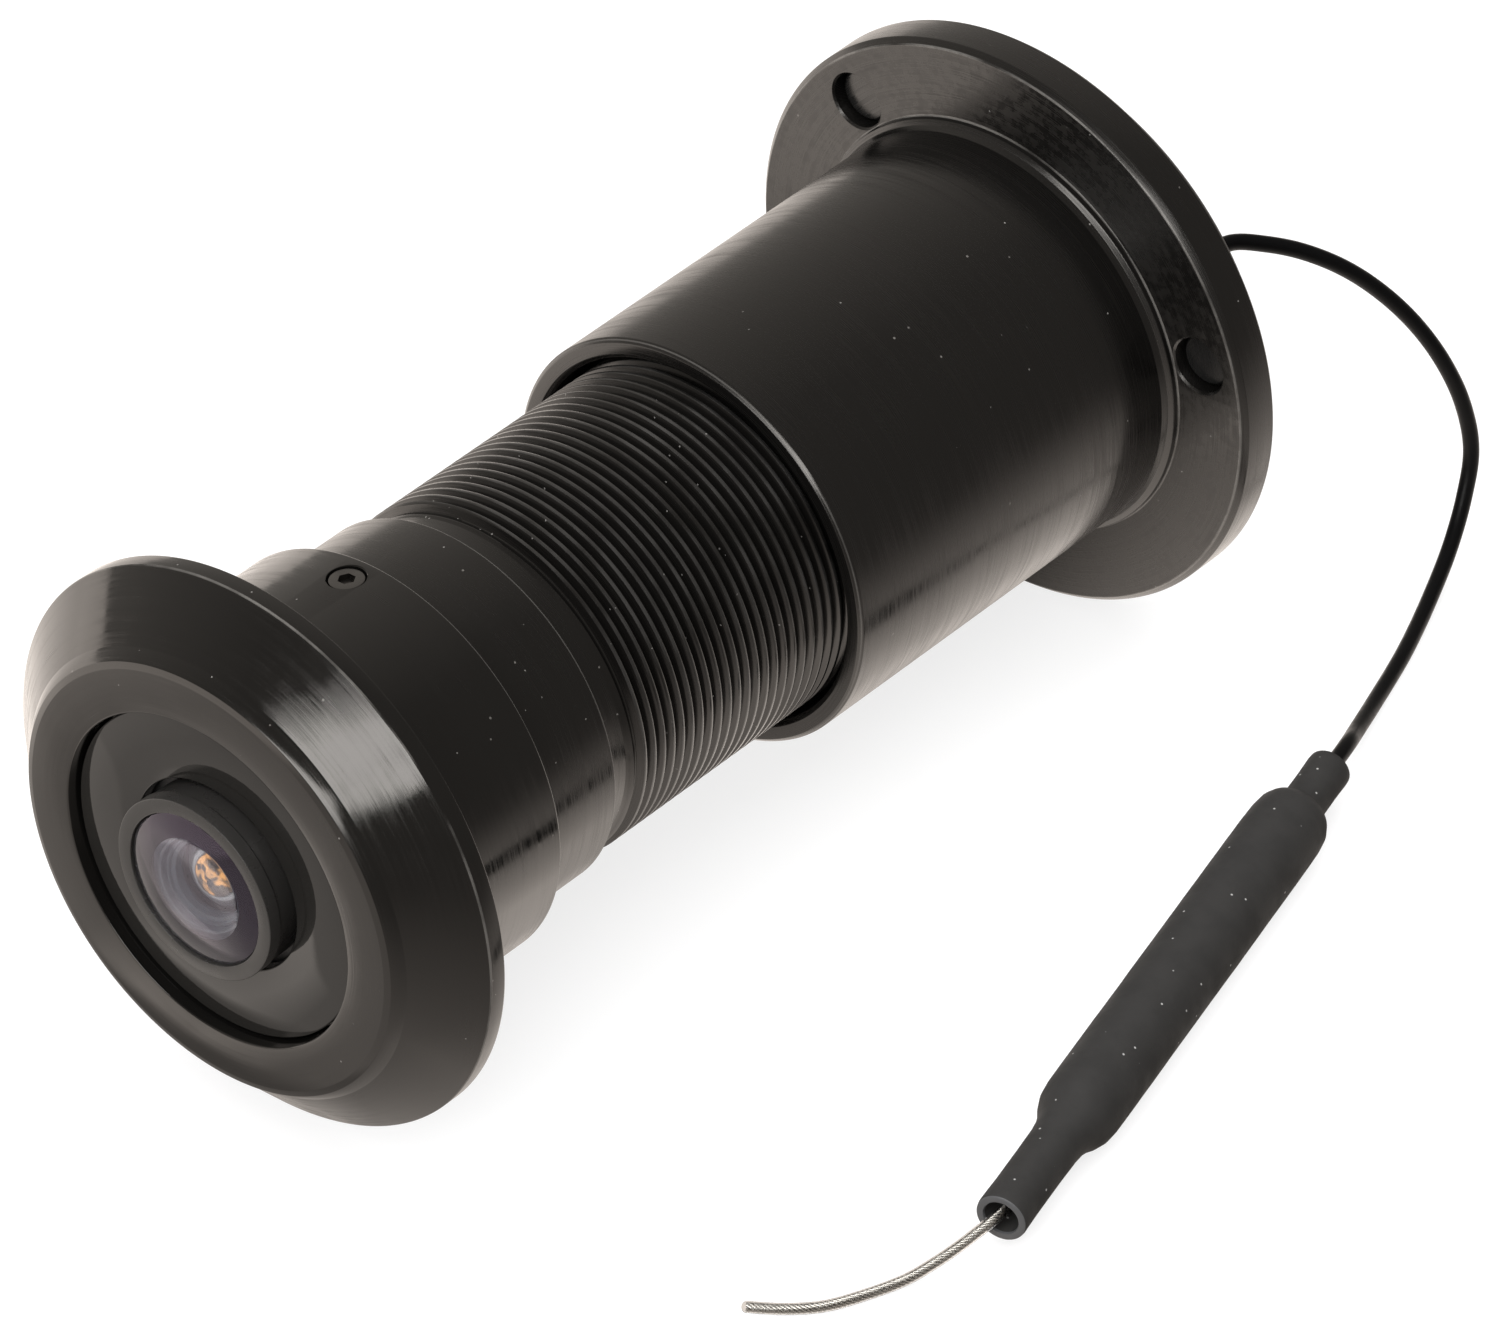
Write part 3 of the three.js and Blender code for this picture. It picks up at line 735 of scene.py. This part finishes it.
def smooth_route(points, per_span=8):
    """Centripetal Catmull-Rom curve through the points, as the CAD tubes follow."""
    ends = [points[0] * 2 - points[1], *points, points[-1] * 2 - points[-2]]
    out = []
    for a, b, c, d in zip(ends, ends[1:], ends[2:], ends[3:]):
        t0 = 0.0
        t1 = t0 + sqrt((b - a).length)
        t2 = t1 + sqrt((c - b).length)
        t3 = t2 + sqrt((d - c).length)
        for k in range(per_span):
            t = t1 + (t2 - t1) * k / per_span
            ab = a.lerp(b, (t - t0) / (t1 - t0))
            bc = b.lerp(c, (t - t1) / (t2 - t1))
            cd = c.lerp(d, (t - t2) / (t3 - t2))
            abc = ab.lerp(bc, (t - t0) / (t2 - t0))
            bcd = bc.lerp(cd, (t - t1) / (t3 - t1))
            out.append(abc.lerp(bcd, (t - t1) / (t2 - t1)))
    return [*out, points[-1]]


def evenly(points, step):
    """The same line with points a step apart."""
    out, left = [points[0]], step
    for a, b in zip(points, points[1:]):
        span = (b - a).length
        while span > left:
            a = a.lerp(b, left / span)
            out.append(a)
            span, left = (b - a).length, step
        left -= span
    return out


def length_of(points):
    return sum((b - a).length for a, b in zip(points, points[1:]))


def curve_piece(name, lines, radius, material, resolution=4):
    """Round wire along one or more lines of points."""
    data = bpy.data.curves.new(name, "CURVE")
    data.dimensions = "3D"
    data.bevel_depth = radius * MM
    data.bevel_resolution = resolution
    data.use_fill_caps = True
    for line in lines:
        spline = data.splines.new("POLY")
        spline.points.add(len(line) - 1)
        for point, co in zip(spline.points, line):
            point.co = (*co, 1)
    data.materials.append(material)
    return add_object(name, data)


def frames_along(points):
    """Tangent, side and up vectors carried along a line without twist."""
    last = len(points) - 1
    tangents = [(points[min(i + 1, last)] - points[max(i - 1, 0)]).normalized() for i in range(last + 1)]
    side = tangents[0].cross(Vector((0, 0, 1))).normalized()
    found = []
    for tangent in tangents:
        side = (side - tangent * side.dot(tangent)).normalized()
        found.append((tangent, side, tangent.cross(side)))
    return found


def tube_mesh(name, points, radii, sides, material):
    """Closed tube with a radius at every point, round ends by small closing radii."""
    turns = [TAU * k / sides for k in range(sides)]
    rings = [[p + (side * cos(a) + up * sin(a)) * r * MM for a in turns]
             for p, r, (_, side, up) in zip(points, radii, frames_along(points))]
    return link(name, loft(name, rings), material, 60)


# ---- cords
COAX_ROUTE = [  # x, station, height over the table, in millimetres
    (9.3, 80.1, 25.5), (9.3, 82.4, 25.5), (9.7, 84.6, 25.4), (11.1, 86.3, 25.0), (12.8, 88.0, 24.3),
    (14.8, 89.9, 22.9), (16.6, 91.9, 20.6), (18.4, 93.5, 17.9), (20.0, 94.7, 14.8), (21.2, 95.5, 11.4),
    (22.0, 95.6, 7.9), (22.5, 94.4, 4.9), (23.2, 92.2, 2.4), (24.7, 88.1, 1.0), (26.7, 82.9, 0.62),
    (28.6, 77.4, 0.8), (30.3, 73.2, 1.7), (31.3, 71.1, 2.5), (31.93, 69.09, 2.7),
]
RADIATOR_ROUTE = [
    (41.95, 30.03, 2.75), (44.2, 20.9, 2.78), (44.2, 19.6, 2.6), (43.85, 18.3, 2.1), (43.4, 16.9, 1.5),
    (42.85, 15.3, 0.95), (42.25, 13.6, 0.52), (41.2, 10.9, 0.42), (39.9, 8.3, 0.42), (38.2, 6.5, 0.42),
    (36.3, 5.1, 0.42),
]
COAX_R = 0.565
SHRINK_TOP = (32.0, 68.8)
SHRINK_HEADING = (0.2485, -0.9686)
SHRINK_HEIGHT = 2.75


def antenna_place(r, a, s):
    """A point of a piece turned about the antenna's own line, s millimetres from its cord end."""
    along = Vector((SHRINK_HEADING[0], SHRINK_HEADING[1], 0)).normalized()
    across = Vector((-along.y, along.x, 0))
    middle = on_table(*SHRINK_TOP, SHRINK_HEIGHT)
    return middle + (along * s + across * (r * cos(a)) + Vector((0, 0, r * sin(a)))) * MM


def make_coax(material):
    """Antenna lead, seen from the grommet to the antenna and running on inside it."""
    inside = [antenna_place(0, 0, s) for s in (3, 10, 20, 30, 39.6)]
    route = smooth_route([on_table(*p) for p in COAX_ROUTE] + inside)
    cable = curve_piece("coax_lead_free", [route], COAX_R, material, resolution=6)
    return ready(cable, "root", "cord_black", "coax_cable", "antenna_feed"), route


def make_shrink(material, cut_material):
    """Heat-shrink tube over the antenna, pulled in at both ends, with soft ripples and a slack open mouth."""
    outer = [(1.2, 0.86), (1.4, 0.85), (1.49, 0.93), (1.51, 1.3), (1.48, 3.0), (1.5, 5.2), (1.58, 5.65), (1.9, 6.0),
             (2.32, 6.4), (2.56, 7.0), (2.67, 8.0), (2.7, 9.5), (2.7, 20), (2.69, 30), (2.7, 36.5), (2.69, 38.6),
             (2.6, 39.6), (2.35, 40.4), (2.02, 41.1), (1.82, 41.8), (1.73, 42.8), (1.7, 45.0), (1.7, 48),
             (1.74, 50.3), (1.7, 50.52)]
    inner = [(1.62, 50.58), (1.24, 50.56), (1.18, 50.4), (1.16, 44.2), (1.4, 42.2), (2.2, 39.2), (2.3, 38), (2.3, 9),
             (2.0, 7.6), (0.99, 6.2), (0.97, 1.3)]

    def place(r, a, s):
        p = antenna_place(r, a, s)
        if r > 1.45 and 0.5 < s < 50:
            slack = noise.noise(Vector((cos(a) * 1.3, sin(a) * 1.3, s * 0.22)))
            ripple = noise.noise(Vector((cos(a) * 0.6, sin(a) * 0.6, s * 0.9 + 7)))
            outward = (antenna_place(1, a, s) - antenna_place(0, a, s)).normalized()
            p += outward * (slack * 0.014 + ripple * 0.008) * MM
        return p

    fine = []
    for (r0, s0), (r1, s1) in zip(outer, outer[1:]):
        steps = max(1, round((s1 - s0) / 0.5))
        fine += [(r0 + (r1 - r0) * k / steps, s0 + (s1 - s0) * k / steps) for k in range(steps)]
    sleeve = link("antenna_heat_shrink", revolve(fine + [outer[-1]] + inner, 72, place), material, 60)
    sleeve.data.materials.append(cut_material)
    mouth = antenna_place(0, 0, 50.45)
    along = (antenna_place(0, 0, 51) - mouth).normalized()
    for face in sleeve.data.polygons:
        face.material_index = int((face.center - mouth).dot(along) > 0)
    return ready(sleeve, "root", "shrink_black", "antenna_shrink")


def make_choke(material):
    outline = softened([(1.5, 10), (1.95, 10), (1.95, 38), (1.5, 38)], 0.06)
    choke = link("antenna_copper_choke", revolve(outline, 64, antenna_place), material)
    return ready(choke, "root", "copper", "antenna_choke")


def make_radiator(wire, jacket):
    """Seven tinned strands, six of them laid in a helix round the first, in a clear jacket."""
    strands, lay, lay_r, jacket_r = 6, 1.9, 0.152, 0.385
    route = evenly(smooth_route([on_table(*p) for p in RADIATOR_ROUTE], per_span=14), 0.16 * MM)
    lines = [[] for _ in range(strands)]
    travelled = 0.0
    for i, (p, (_, side, up)) in enumerate(zip(route, frames_along(route))):
        travelled += (p - route[i - 1]).length / MM if i else 0
        for k, line in enumerate(lines):
            a = TAU * (k / strands + travelled / lay)
            line.append(p + (side * cos(a) + up * sin(a)) * lay_r * MM)
    core = curve_piece("radiator_strands", [route, *lines], 0.078, wire, resolution=2)
    onward = (route[-1] - route[-2]).normalized() * MM
    tips = [route[-1] + onward * d for d in (0.15, 0.27, 0.33)]
    radii = [jacket_r] * len(route) + [0.35, 0.24, 0.08]
    cover = tube_mesh("radiator_clear_jacket", [*route, *tips], radii, 20, jacket)
    return [ready(piece, "root", "silver_wire", "radiator_wire") for piece in (core, cover)]


def make_grommet(material):
    profile = [(0.865, 75.7), (1.1, 75.7), (1.1, 77.63), (1.7, 77.63), (1.7, 78.3), (1.42, 78.75), (1.2, 79.3),
               (1.05, 79.8), (0.865, 79.8)]
    grommet = turned("lead_grommet", profile, material, soft=0.12, segments=64, x=EXIT_X, z=EXIT_Z)
    return ready(grommet, "root", "rubber", "cable_grommet")


# ---- bezel and barrel
SEGMENTS = 256
GRUB_STATION, GRUB_TILT = 10.5, radians(5.5)


def grub_place(r, a, reach):
    """A point turned about the grub screw's line, reach millimetres out from the viewer's axis."""
    out = Vector((-sin(GRUB_TILT), 0, cos(GRUB_TILT)))
    side = Vector((cos(GRUB_TILT), 0, sin(GRUB_TILT)))
    return at(0, GRUB_STATION) + (out * reach + side * (r * cos(a)) + Vector((0, r * sin(a), 0))) * MM


def grub_turned(name, outline, segments, material):
    """A piece turned about the grub screw's line, from an outline that starts and ends on it."""
    return link(name, revolve(outline, segments, grub_place, closed=False), material)


def grub_drill(material):
    """A drill through the skirt with a small countersink."""
    outline = [(0, 10.5), (1.3, 10.5), (1.3, 14.56), (1.42, 14.68), (1.42, 16), (0, 16)]
    return grub_turned("drill", outline, 64, material)


def make_bezel(material):
    """Bevelled rim with a front ring, the recess for the plate, and the skirt over the barrel."""
    profile = [
        (11.9, -BEZEL_NOSE), (15.0, -BEZEL_NOSE), (15.45, -4.22), (15.8, -3.86), (16.1, -3.45), (RIM_R, 0.0),
        (RIM_R, 1.28), (SKIRT_R, 1.28), (SKIRT_R, SKIRT_END), (13.57, SKIRT_END), (13.57, -0.6), (10.6, -0.6),
        (10.6, -2.16), (11.9, -2.16),
    ]
    bezel = turned("bezel_ring", profile, material, soft=0.13, segments=SEGMENTS)
    return ready(cut(bezel, grub_drill(material)), "barrel", "black_aluminium", "front_bezel")


def make_barrel(material):
    """Screwed barrel: plain neck, run-out groove and a right-handed helical thread."""
    segments, start, end, base = 160, 21.4, 54.0, 12.3
    neck = [(11.3, 53.7), (11.3, -0.3), (NECK_R, -0.3), (NECK_R, 19.02), (13.12, 19.2), (12.2, 19.35), (12.2, 21.2),
            (base, start)]
    tail = [(base, end), (11.45, end)]
    tooth = [(0.0, CREST_R - 0.02), (0.02, CREST_R), (0.26, CREST_R), (0.28, CREST_R - 0.02),
             (0.46, ROOT_R + 0.03), (0.49, ROOT_R), (0.69, ROOT_R), (0.72, ROOT_R + 0.03)]
    turns = math.ceil((end - start) / PITCH) + 2
    rows = [(r, start + (turn - 1) * PITCH + y) for turn in range(turns) for y, r in tooth]

    def threaded(r, y):
        """Radius of a thread point, faded into the barrel at both ends."""
        fade = min(1, max(0, (y - start) / 0.75)) * min(1, max(0, (end - y) / 0.5))
        return base + (r - base) * (fade if r > base else min(1, fade * 2))

    verts, faces = [], []
    for k in range(segments):
        # seen along +Y the angle runs from +X towards +Z, so a right-handed crest falls back with it
        lift = PITCH * (1 - k / segments)
        for r, y in rows:
            station = min(end, max(start, y + lift))
            radius, a = threaded(r, station), TAU * k / segments
            verts.append(at(radius * cos(a), station, radius * sin(a)))
    count = len(rows)
    for k in range(segments):
        near, far = k * count, (k + 1) % segments * count
        # past the last segment the thread joins one turn back
        back = len(tooth) if k == segments - 1 else 0
        faces += [(near + i, near + i + 1, far + i + 1 - back, far + i - back) for i in range(back, count - 1)]
    mesh = bpy.data.meshes.new("thread")
    mesh.from_pydata(verts, [], faces)
    bm = bmesh.new()
    bm.from_mesh(mesh)
    place = axial()
    bands = []
    for outline in (softened(neck, 0.1, closed=False), tail):
        rings = [[bm.verts.new(place(r, TAU * k / segments, y)) for k in range(segments)] for r, y in outline]
        bands += zip(rings, rings[1:])
    bands.append((bands[-1][1], bands[0][0]))
    for a, b in bands:
        for k in range(segments):
            j = (k + 1) % segments
            bm.faces.new((a[k], a[j], b[j], b[k]))
    bmesh.ops.remove_doubles(bm, verts=bm.verts, dist=2e-6)
    bmesh.ops.dissolve_degenerate(bm, edges=bm.edges, dist=1e-7)
    bmesh.ops.recalc_face_normals(bm, faces=bm.faces)
    barrel = link("screwed_barrel", baked(mesh, bm), material, 50)
    return ready(cut(barrel, grub_drill(material), sharp=50), "barrel", "black_aluminium", "threaded_barrel")


def make_grub(material):
    """Set screw with a hexagon socket."""
    outline = softened([(0, 11.9), (1.2, 11.9), (1.2, 14.5), (0, 14.5)], 0.1, closed=False)
    screw = grub_turned("hex_grub_screw", outline, 48, material)
    socket = grub_turned("socket", [(0, 14.15), (0.6, 14.15), (0.6, 15), (0, 15)], 6, material)
    return ready(cut(screw, socket), "grub", "black_steel", "grub_screw")


# ---- camera
def lens_arc(edge_r, edge_y, bulge, steps=14):
    """Points of a lens face from its middle to its edge; a positive bulge stands out to the front."""
    radius = (edge_r ** 2 + bulge ** 2) / (2 * abs(bulge))
    depth = sqrt(radius ** 2 - edge_r ** 2)
    steps_out = [edge_r * i / steps for i in range(steps + 1)]
    return [(r, edge_y - math.copysign(sqrt(radius ** 2 - r ** 2) - depth, bulge)) for r in steps_out]


def make_plate(material):
    profile = [(6.8, -3.46), (11.68, -3.46), (11.68, -2.46), (6.8, -2.46)]
    plate = turned("camera_ring_plate", profile, material, soft=0.12, segments=SEGMENTS)
    return ready(plate, "camera", "plate_aluminium", "camera_plate")


def make_lens_barrel(material):
    """M12 lens body with a polished head and stepped light baffles inside."""
    outer = [(5.45, -5.47), (6.48, -5.47), (6.48, -4.5), (6.36, -4.4), (6.36, -2.56), (5.95, -2.56), (5.95, 5.0),
             (3.4, 5.0), (3.4, 4.0), (3.0, 4.0)]
    steps = [3.6 - k * 0.5 for k in range(9)]
    baffles = [point for y in steps for point in ((3.0, y), (3.0, y - 0.12), (3.12, y - 0.25))]
    inner = [(3.0, -1.2), (3.9, -1.2), (3.9, -4.3), (5.3, -4.3), (5.3, -4.7), (5.45, -4.7)]
    body = turned("lens_housing", outer + baffles + inner, material, soft=0.07)
    return ready(body, "camera", "lens_black", "lens_barrel")


def make_front_lens(material, inner_material, edge_paint):
    """Domed front lens with a hollow back and a blackened rim and ledge."""
    edge_r, edge_y, apex_y, back_r = 5.36, -5.28, -6.43, 3.4
    profile = [*lens_arc(edge_r, edge_y, edge_y - apex_y, 28), (edge_r, -4.72),
               *reversed(lens_arc(back_r, -4.66, 0.15, 16))]
    dome = link("lens_dome", revolve(profile, 160, axial(), closed=False), material, 40)
    for other in (inner_material, edge_paint):
        dome.data.materials.append(other)
    for face in dome.data.polygons:
        if face.center.y > RIM_Y + (edge_y + 0.03) * MM:
            r = math.hypot(face.center.x, face.center.z - AXIS_Z) / MM
            face.material_index = 1 if r < back_r else 2
    dome.visible_shadow = False
    return ready(dome, "camera", "glass", "front_lens")


def make_spacer(material):
    """Stop ring behind the dome, whose fine steps show through it."""
    profile = [(2.36, -3.7), (2.36, -3.95), (2.58, -3.98), (2.62, -4.1), (2.74, -4.1), (2.78, -4.0), (2.9, -4.0),
               (2.95, -4.3), (3.12, -4.36), (3.2, -4.3), (3.6, -4.2), (3.6, -3.6), (2.4, -3.6)]
    spacer = turned("lens_stop_ring", profile, material, soft=0.03, segments=96)
    return ready(spacer, "camera", "lens_black", "lens_spacer")


def make_inner_lens(name, node, material, r, front, back):
    """A lens of radius r; front and back are the (station, bulge) of its faces."""
    profile = [*lens_arc(r, *front), *reversed(lens_arc(r, *back))]
    glass = link(name, revolve(profile, 96, axial(), closed=False), material, 40)
    return ready(glass, "camera", "glass", node)


def make_filter(material):
    profile = [(0, 4.3), (3.05, 4.3), (3.05, 4.75), (0, 4.75)]
    glass = turned("infrared_filter", profile, material, soft=0.04, segments=64)
    return ready(glass, "camera", "glass", "ir_filter")


# ---- rear unit
PIN_CIRCLE = 17.5
PIN_ANGLES = (16, 136, 256)


def pin_places():
    """Places of the cover's press pins across the axis, in millimetres."""
    return [(PIN_CIRCLE * cos(radians(a)), PIN_CIRCLE * sin(radians(a))) for a in PIN_ANGLES]


def drill(outline, x, z, material, segments=64):
    """A cutter along the axis, from an outline that starts and ends on its own line."""
    return link("drill", revolve(outline, segments, axial(x, z), closed=False), material)


def make_sleeve(material):
    """Flanged sleeve that draws against the inside of the door."""
    profile = [
        (13.62, SLEEVE_MOUTH), (14.45, SLEEVE_MOUTH), (SLEEVE_R, 41.3), (SLEEVE_R, 71.2), (14.95, 71.6), (15.3, 71.8),
        (15.36, FLANGE_FRONT), (20.5, FLANGE_FRONT), (FLANGE_R, 72.68), (FLANGE_R, 75.15), (20.68, FLANGE_BACK),
        (13.3, FLANGE_BACK), (13.3, 41.34),
    ]
    sleeve = turned("flanged_sleeve", profile, material, soft=0.12, segments=SEGMENTS)
    hole = [(0, 71.5), (2.14, 71.5), (2.14, FLANGE_FRONT), (2.0, 72.37), (2.0, 76.5), (0, 76.5)]
    cut(sleeve, *[drill(hole, x, z, material) for x, z in pin_places()])
    return ready(sleeve, "root", "black_aluminium", "sleeve_flange")


def make_pins(material):
    profile = [(0, 73.1), (1.7, 73.1), (1.88, 73.28), (1.88, FLANGE_BACK), (0, FLANGE_BACK)]
    for i, (x, z) in enumerate(pin_places(), 1):
        pin = turned(f"cover_press_pin_{i}", profile, material, segments=64, x=x, z=z)
        ready(pin, "root", "black_steel", f"cover_pin_{i}")


def make_cover(material):
    """Low rear cover with openings for the inlet, the card, the button, the light and the lead."""
    profile = [(0, COVER_FRONT), (19.7, COVER_FRONT), (19.7, 76.23), (19.2, 76.7), (18.3, COVER_BACK),
               (16.9, COVER_BACK), (16.8, 77.21), (16.5, 77.21), (16.4, COVER_BACK), (0, COVER_BACK)]
    cover = turned("indoor_cover", profile, material, soft=0.12, segments=SEGMENTS)

    def hole(x, z, r):
        outline = [(0, 74), (r, 74), (r, 77.1), (r + 0.25, 77.35), (r + 0.25, 79), (0, 79)]
        return drill(outline, x, z, material, segments=48)

    cut(cover,
        stadium_mesh("usb_hole", 9.54, 3.86, 74, 79, material),
        box_mesh("card_hole", (-5.9, 74, -2.7), (5.9, 79, -1.1), material, bevel=0.15),
        hole(BUTTON_X, BUTTON_Z, 1.2), hole(LED_X, LED_Z, 1.3), hole(EXIT_X, EXIT_Z, 1.4))
    return ready(cover, "root", "black_plastic", "rear_cover")


def make_usb(shell_metal, plastic, gold):
    """Power inlet: a drawn shell, its tongue, and contacts on both sides of it."""
    shell = stadium_mesh("usb_metal_shell", 8.94, 3.26, 67.8, 77.15, shell_metal)
    cut(shell, stadium_mesh("usb_cavity", 8.34, 2.56, 70, 80, shell_metal))
    ready(shell, "root", "tin", "usb_shell")
    tongue = box_mesh("usb_contact_tongue", (-3.35, 70.3, 2.08), (3.35, 76.2, 2.78), plastic, bevel=0.12)
    ready(tongue, "root", "chip", "usb_tongue")
    places = [((k - 5.5) * 0.5, 73.6, z) for k in range(12) for z in (2.055, 2.785)]
    contacts("usb_contacts", places, (0.26, 3.4, 0.05), gold, "root")


def make_card(material, gold):
    """Memory card with the finger groove at its outer end and the notch in its side."""
    card = box_mesh("memory_card_body", (-5.5, 62.2, -2.3), (5.5, 77.2, -1.5), material, bevel=0.12)
    groove = box_mesh("groove", (-4.6, 75.6, -1.62), (4.6, 76.2, -1.2), material, bevel=0.05)
    notch = box_mesh("notch", (4.9, 66.6, -2.6), (6.4, 69.2, -1.2), material, bevel=0.05)
    ready(cut(card, groove, notch), "card", "chip", "memory_card")
    places = [((k - 3.5) * 1.1, 63.9, -2.305) for k in range(8)]
    contacts("memory_card_contacts", places, (0.75, 2.6, 0.03), gold, "card")


def make_card_socket(material):
    socket = box_mesh("memory_card_socket", (-6.6, 58, -3.0), (6.6, 72.5, -0.8), material, bevel=0.15)
    slot = box_mesh("slot", (-5.9, 61.6, -2.65), (5.9, 74, -1.15), material, bevel=0.05)
    window = box_mesh("window", (-4.2, 63.5, -3.4), (4.2, 70.0, -2.4), material, bevel=0.05)
    return ready(cut(socket, slot, window), "root", "tin", "card_socket")


def make_button(material):
    profile = [(0, 73.6), (0.9, 73.6), (0.9, 77.18), (0.55, 77.18), (0.45, 77.1), (0, 77.06)]
    button = turned("reset_push_button", profile, material, segments=48, x=BUTTON_X, z=BUTTON_Z)
    return ready(button, "button", "black_plastic", "reset_button")


def make_led(material):
    profile = [(0, 71.5), (1.0, 71.5), (1.0, 76.85), (0.75, 77.08), (0.4, 77.16), (0, 77.18)]
    led = turned("status_light", profile, material, soft=0.05, segments=48, x=LED_X, z=LED_Z)
    return ready(led, "root", "led", "status_led")


def make_inner_lead(material):
    """The lead inside, from its plug on the main board to the grommet."""
    points = [(6.4, 62, 3.065), (6.4, 64.5, 3.3), (7.2, 67, 4.2), (8.6, 70, 4.6), (EXIT_X, 73, EXIT_Z),
              (EXIT_X, 75.4, EXIT_Z)]
    lead = curve_piece("coax_lead_inside", [smooth_route([at(*p) for p in points])], COAX_R, material)
    return ready(lead, "root", "cord_black", "coax_lead")


def make_ribbon(material):
    """Amber flexible circuit in soft waves between the camera's board and the main board."""
    front, back, waves, half_t, half_w = 12.0, 39.4, 4, 0.15, 3.0
    steps, across = 40 * waves, 6

    def wave(t):
        return 0.9 * t + 2.6 * sin(TAU * waves * t) * sqrt(max(0, sin(math.pi * t)))

    mid = [Vector((front + (back - front) * i / steps, wave(i / steps))) for i in range(steps + 1)]
    top = [(half_w * (2 * j / across - 1), half_t) for j in range(across + 1)]
    section = top + [(x, -up) for x, up in reversed(top)]
    rings = []
    for i, p in enumerate(mid):
        run = (mid[min(i + 1, steps)] - mid[max(i - 1, 0)]).normalized()
        rings.append([at(x, p.x - run.y * up, p.y + run.x * up) for x, up in section])
    ribbon = link("flexible_ribbon", loft("ribbon", rings), material, 50)
    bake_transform(ribbon)
    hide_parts("ribbon_cable")


def dress(node, material):
    """Gives a CAD node that stays as it is a finished material."""
    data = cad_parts[node].data
    data.materials.clear()
    data.materials.append(material)


# ---- build
make_camera()

cord_black = coax_jacket()
coax, coax_path = make_coax(cord_black)
shrink_tube = make_shrink(heat_shrink(), flat_black("shrink_cut_face", (0.060, 0.062, 0.066), 0.5))
choke = make_choke(plain_metal("choke_copper", (0.80, 0.36, 0.20), 0.3))
radiator = make_radiator(plain_metal("tinned_strand", (0.36, 0.35, 0.33), 0.35), clear_jacket())
grommet = make_grommet(flat_black("grommet_rubber", (0.012, 0.012, 0.0125), 0.62, 0.3, 5000))
tuple(coax_path[0])
length_of(coax_path)

steel = plain_metal("black_oxide_steel", (0.17, 0.165, 0.16), 0.35)
tin = plain_metal("tinned_shell", (0.72, 0.72, 0.71), 0.24)
gold = plain_metal("gold_flash", (0.95, 0.66, 0.28), 0.2)
plastic = flat_black("moulded_cover", (0.012, 0.012, 0.0125), 0.42, 0.35, 5200)
chip = flat_black("moulded_chip", (0.010, 0.010, 0.011), 0.5, 0.3, 7000)
board = circuit_board()

make_bezel(black_anodised("black_anodised_bezel", 0.23, marks=0.32, blotch=0.05,
                          worn_highlit_edges=[(SKIRT_R, SKIRT_END, 0.3), (RIM_R, 0.0)]))
make_barrel(black_anodised("black_anodised_thread", 0.3, marks=0.1, crest=CREST_R, worn_highlit_edges=[(13.22, 19.08, 0.25)]))
make_grub(steel)
make_plate(flat_black("dark_grey_plate", (0.0150, 0.0143, 0.0134), 0.06, 0.04, 7000, ior=1.45))
make_lens_barrel(flat_black("lens_body_black", (0.0225, 0.0216, 0.0208), 0.36, 0.08, 9000))
make_front_lens(lens_glass("coated_front_glass", (0.86, 0.70, 1.0), mirror=0.32),
                lens_glass("coated_back_glass", (0.8, 0.7, 1.0), mirror=0.06),
                flat_black("lens_ledge_black", (0.0075, 0.0068, 0.0085), 0.3, 0.05, 9000))
make_spacer(flat_black("lens_ring_blue_grey", (0.026, 0.030, 0.035), 0.4, 0.05, 9000, ior=1.3))
make_inner_lens("lens_middle", "middle_lens", deep_glass("smoky_glass_painted_glint"), 3.55, (-2.7, 1.3), (-2.1, -0.4))
make_inner_lens("lens_rear", "rear_lens", lens_glass("coated_inner_glass", (0.75, 0.6, 1.0), mirror=0.15),
                2.65, (0.6, 0.6), (1.6, -0.6))
make_filter(lens_glass("infrared_filter_glass", (1.0, 0.4, 0.35), color=(0.75, 0.9, 0.95)))
make_sleeve(black_anodised("black_anodised_turned", 0.32, face=(FLANGE_FRONT, 15.4),
                           worn_highlit_edges=[(14.68, 41.12, 0.33), (15.36, 72.2), (20.5, 72.3, 0.4)]))
make_pins(black_anodised("black_pin", 0.33, color=(0.008, 0.008, 0.008), marks=0.1))
make_cover(plastic)
make_usb(tin, chip, gold)
make_card(chip, gold)
make_card_socket(tin)
make_button(plastic)
make_led(clear_led())
make_inner_lead(cord_black)
make_ribbon(amber_film())

for finish, nodes in (
    (plastic, ("lens_holder", "board_chassis")),
    (board, ("sensor_board", "main_board")),
    (chip, ("image_sensor", "ribbon_socket_front", "soc_chip", "ribbon_socket_rear", "reset_switch")),
    (steel, ("board_screw_1", "board_screw_2")),
    (tin, ("wifi_shield",)),
    (gold, ("coax_plug",)),
):
    for node in nodes:
        dress(node, finish)

make_world()
make_stage()
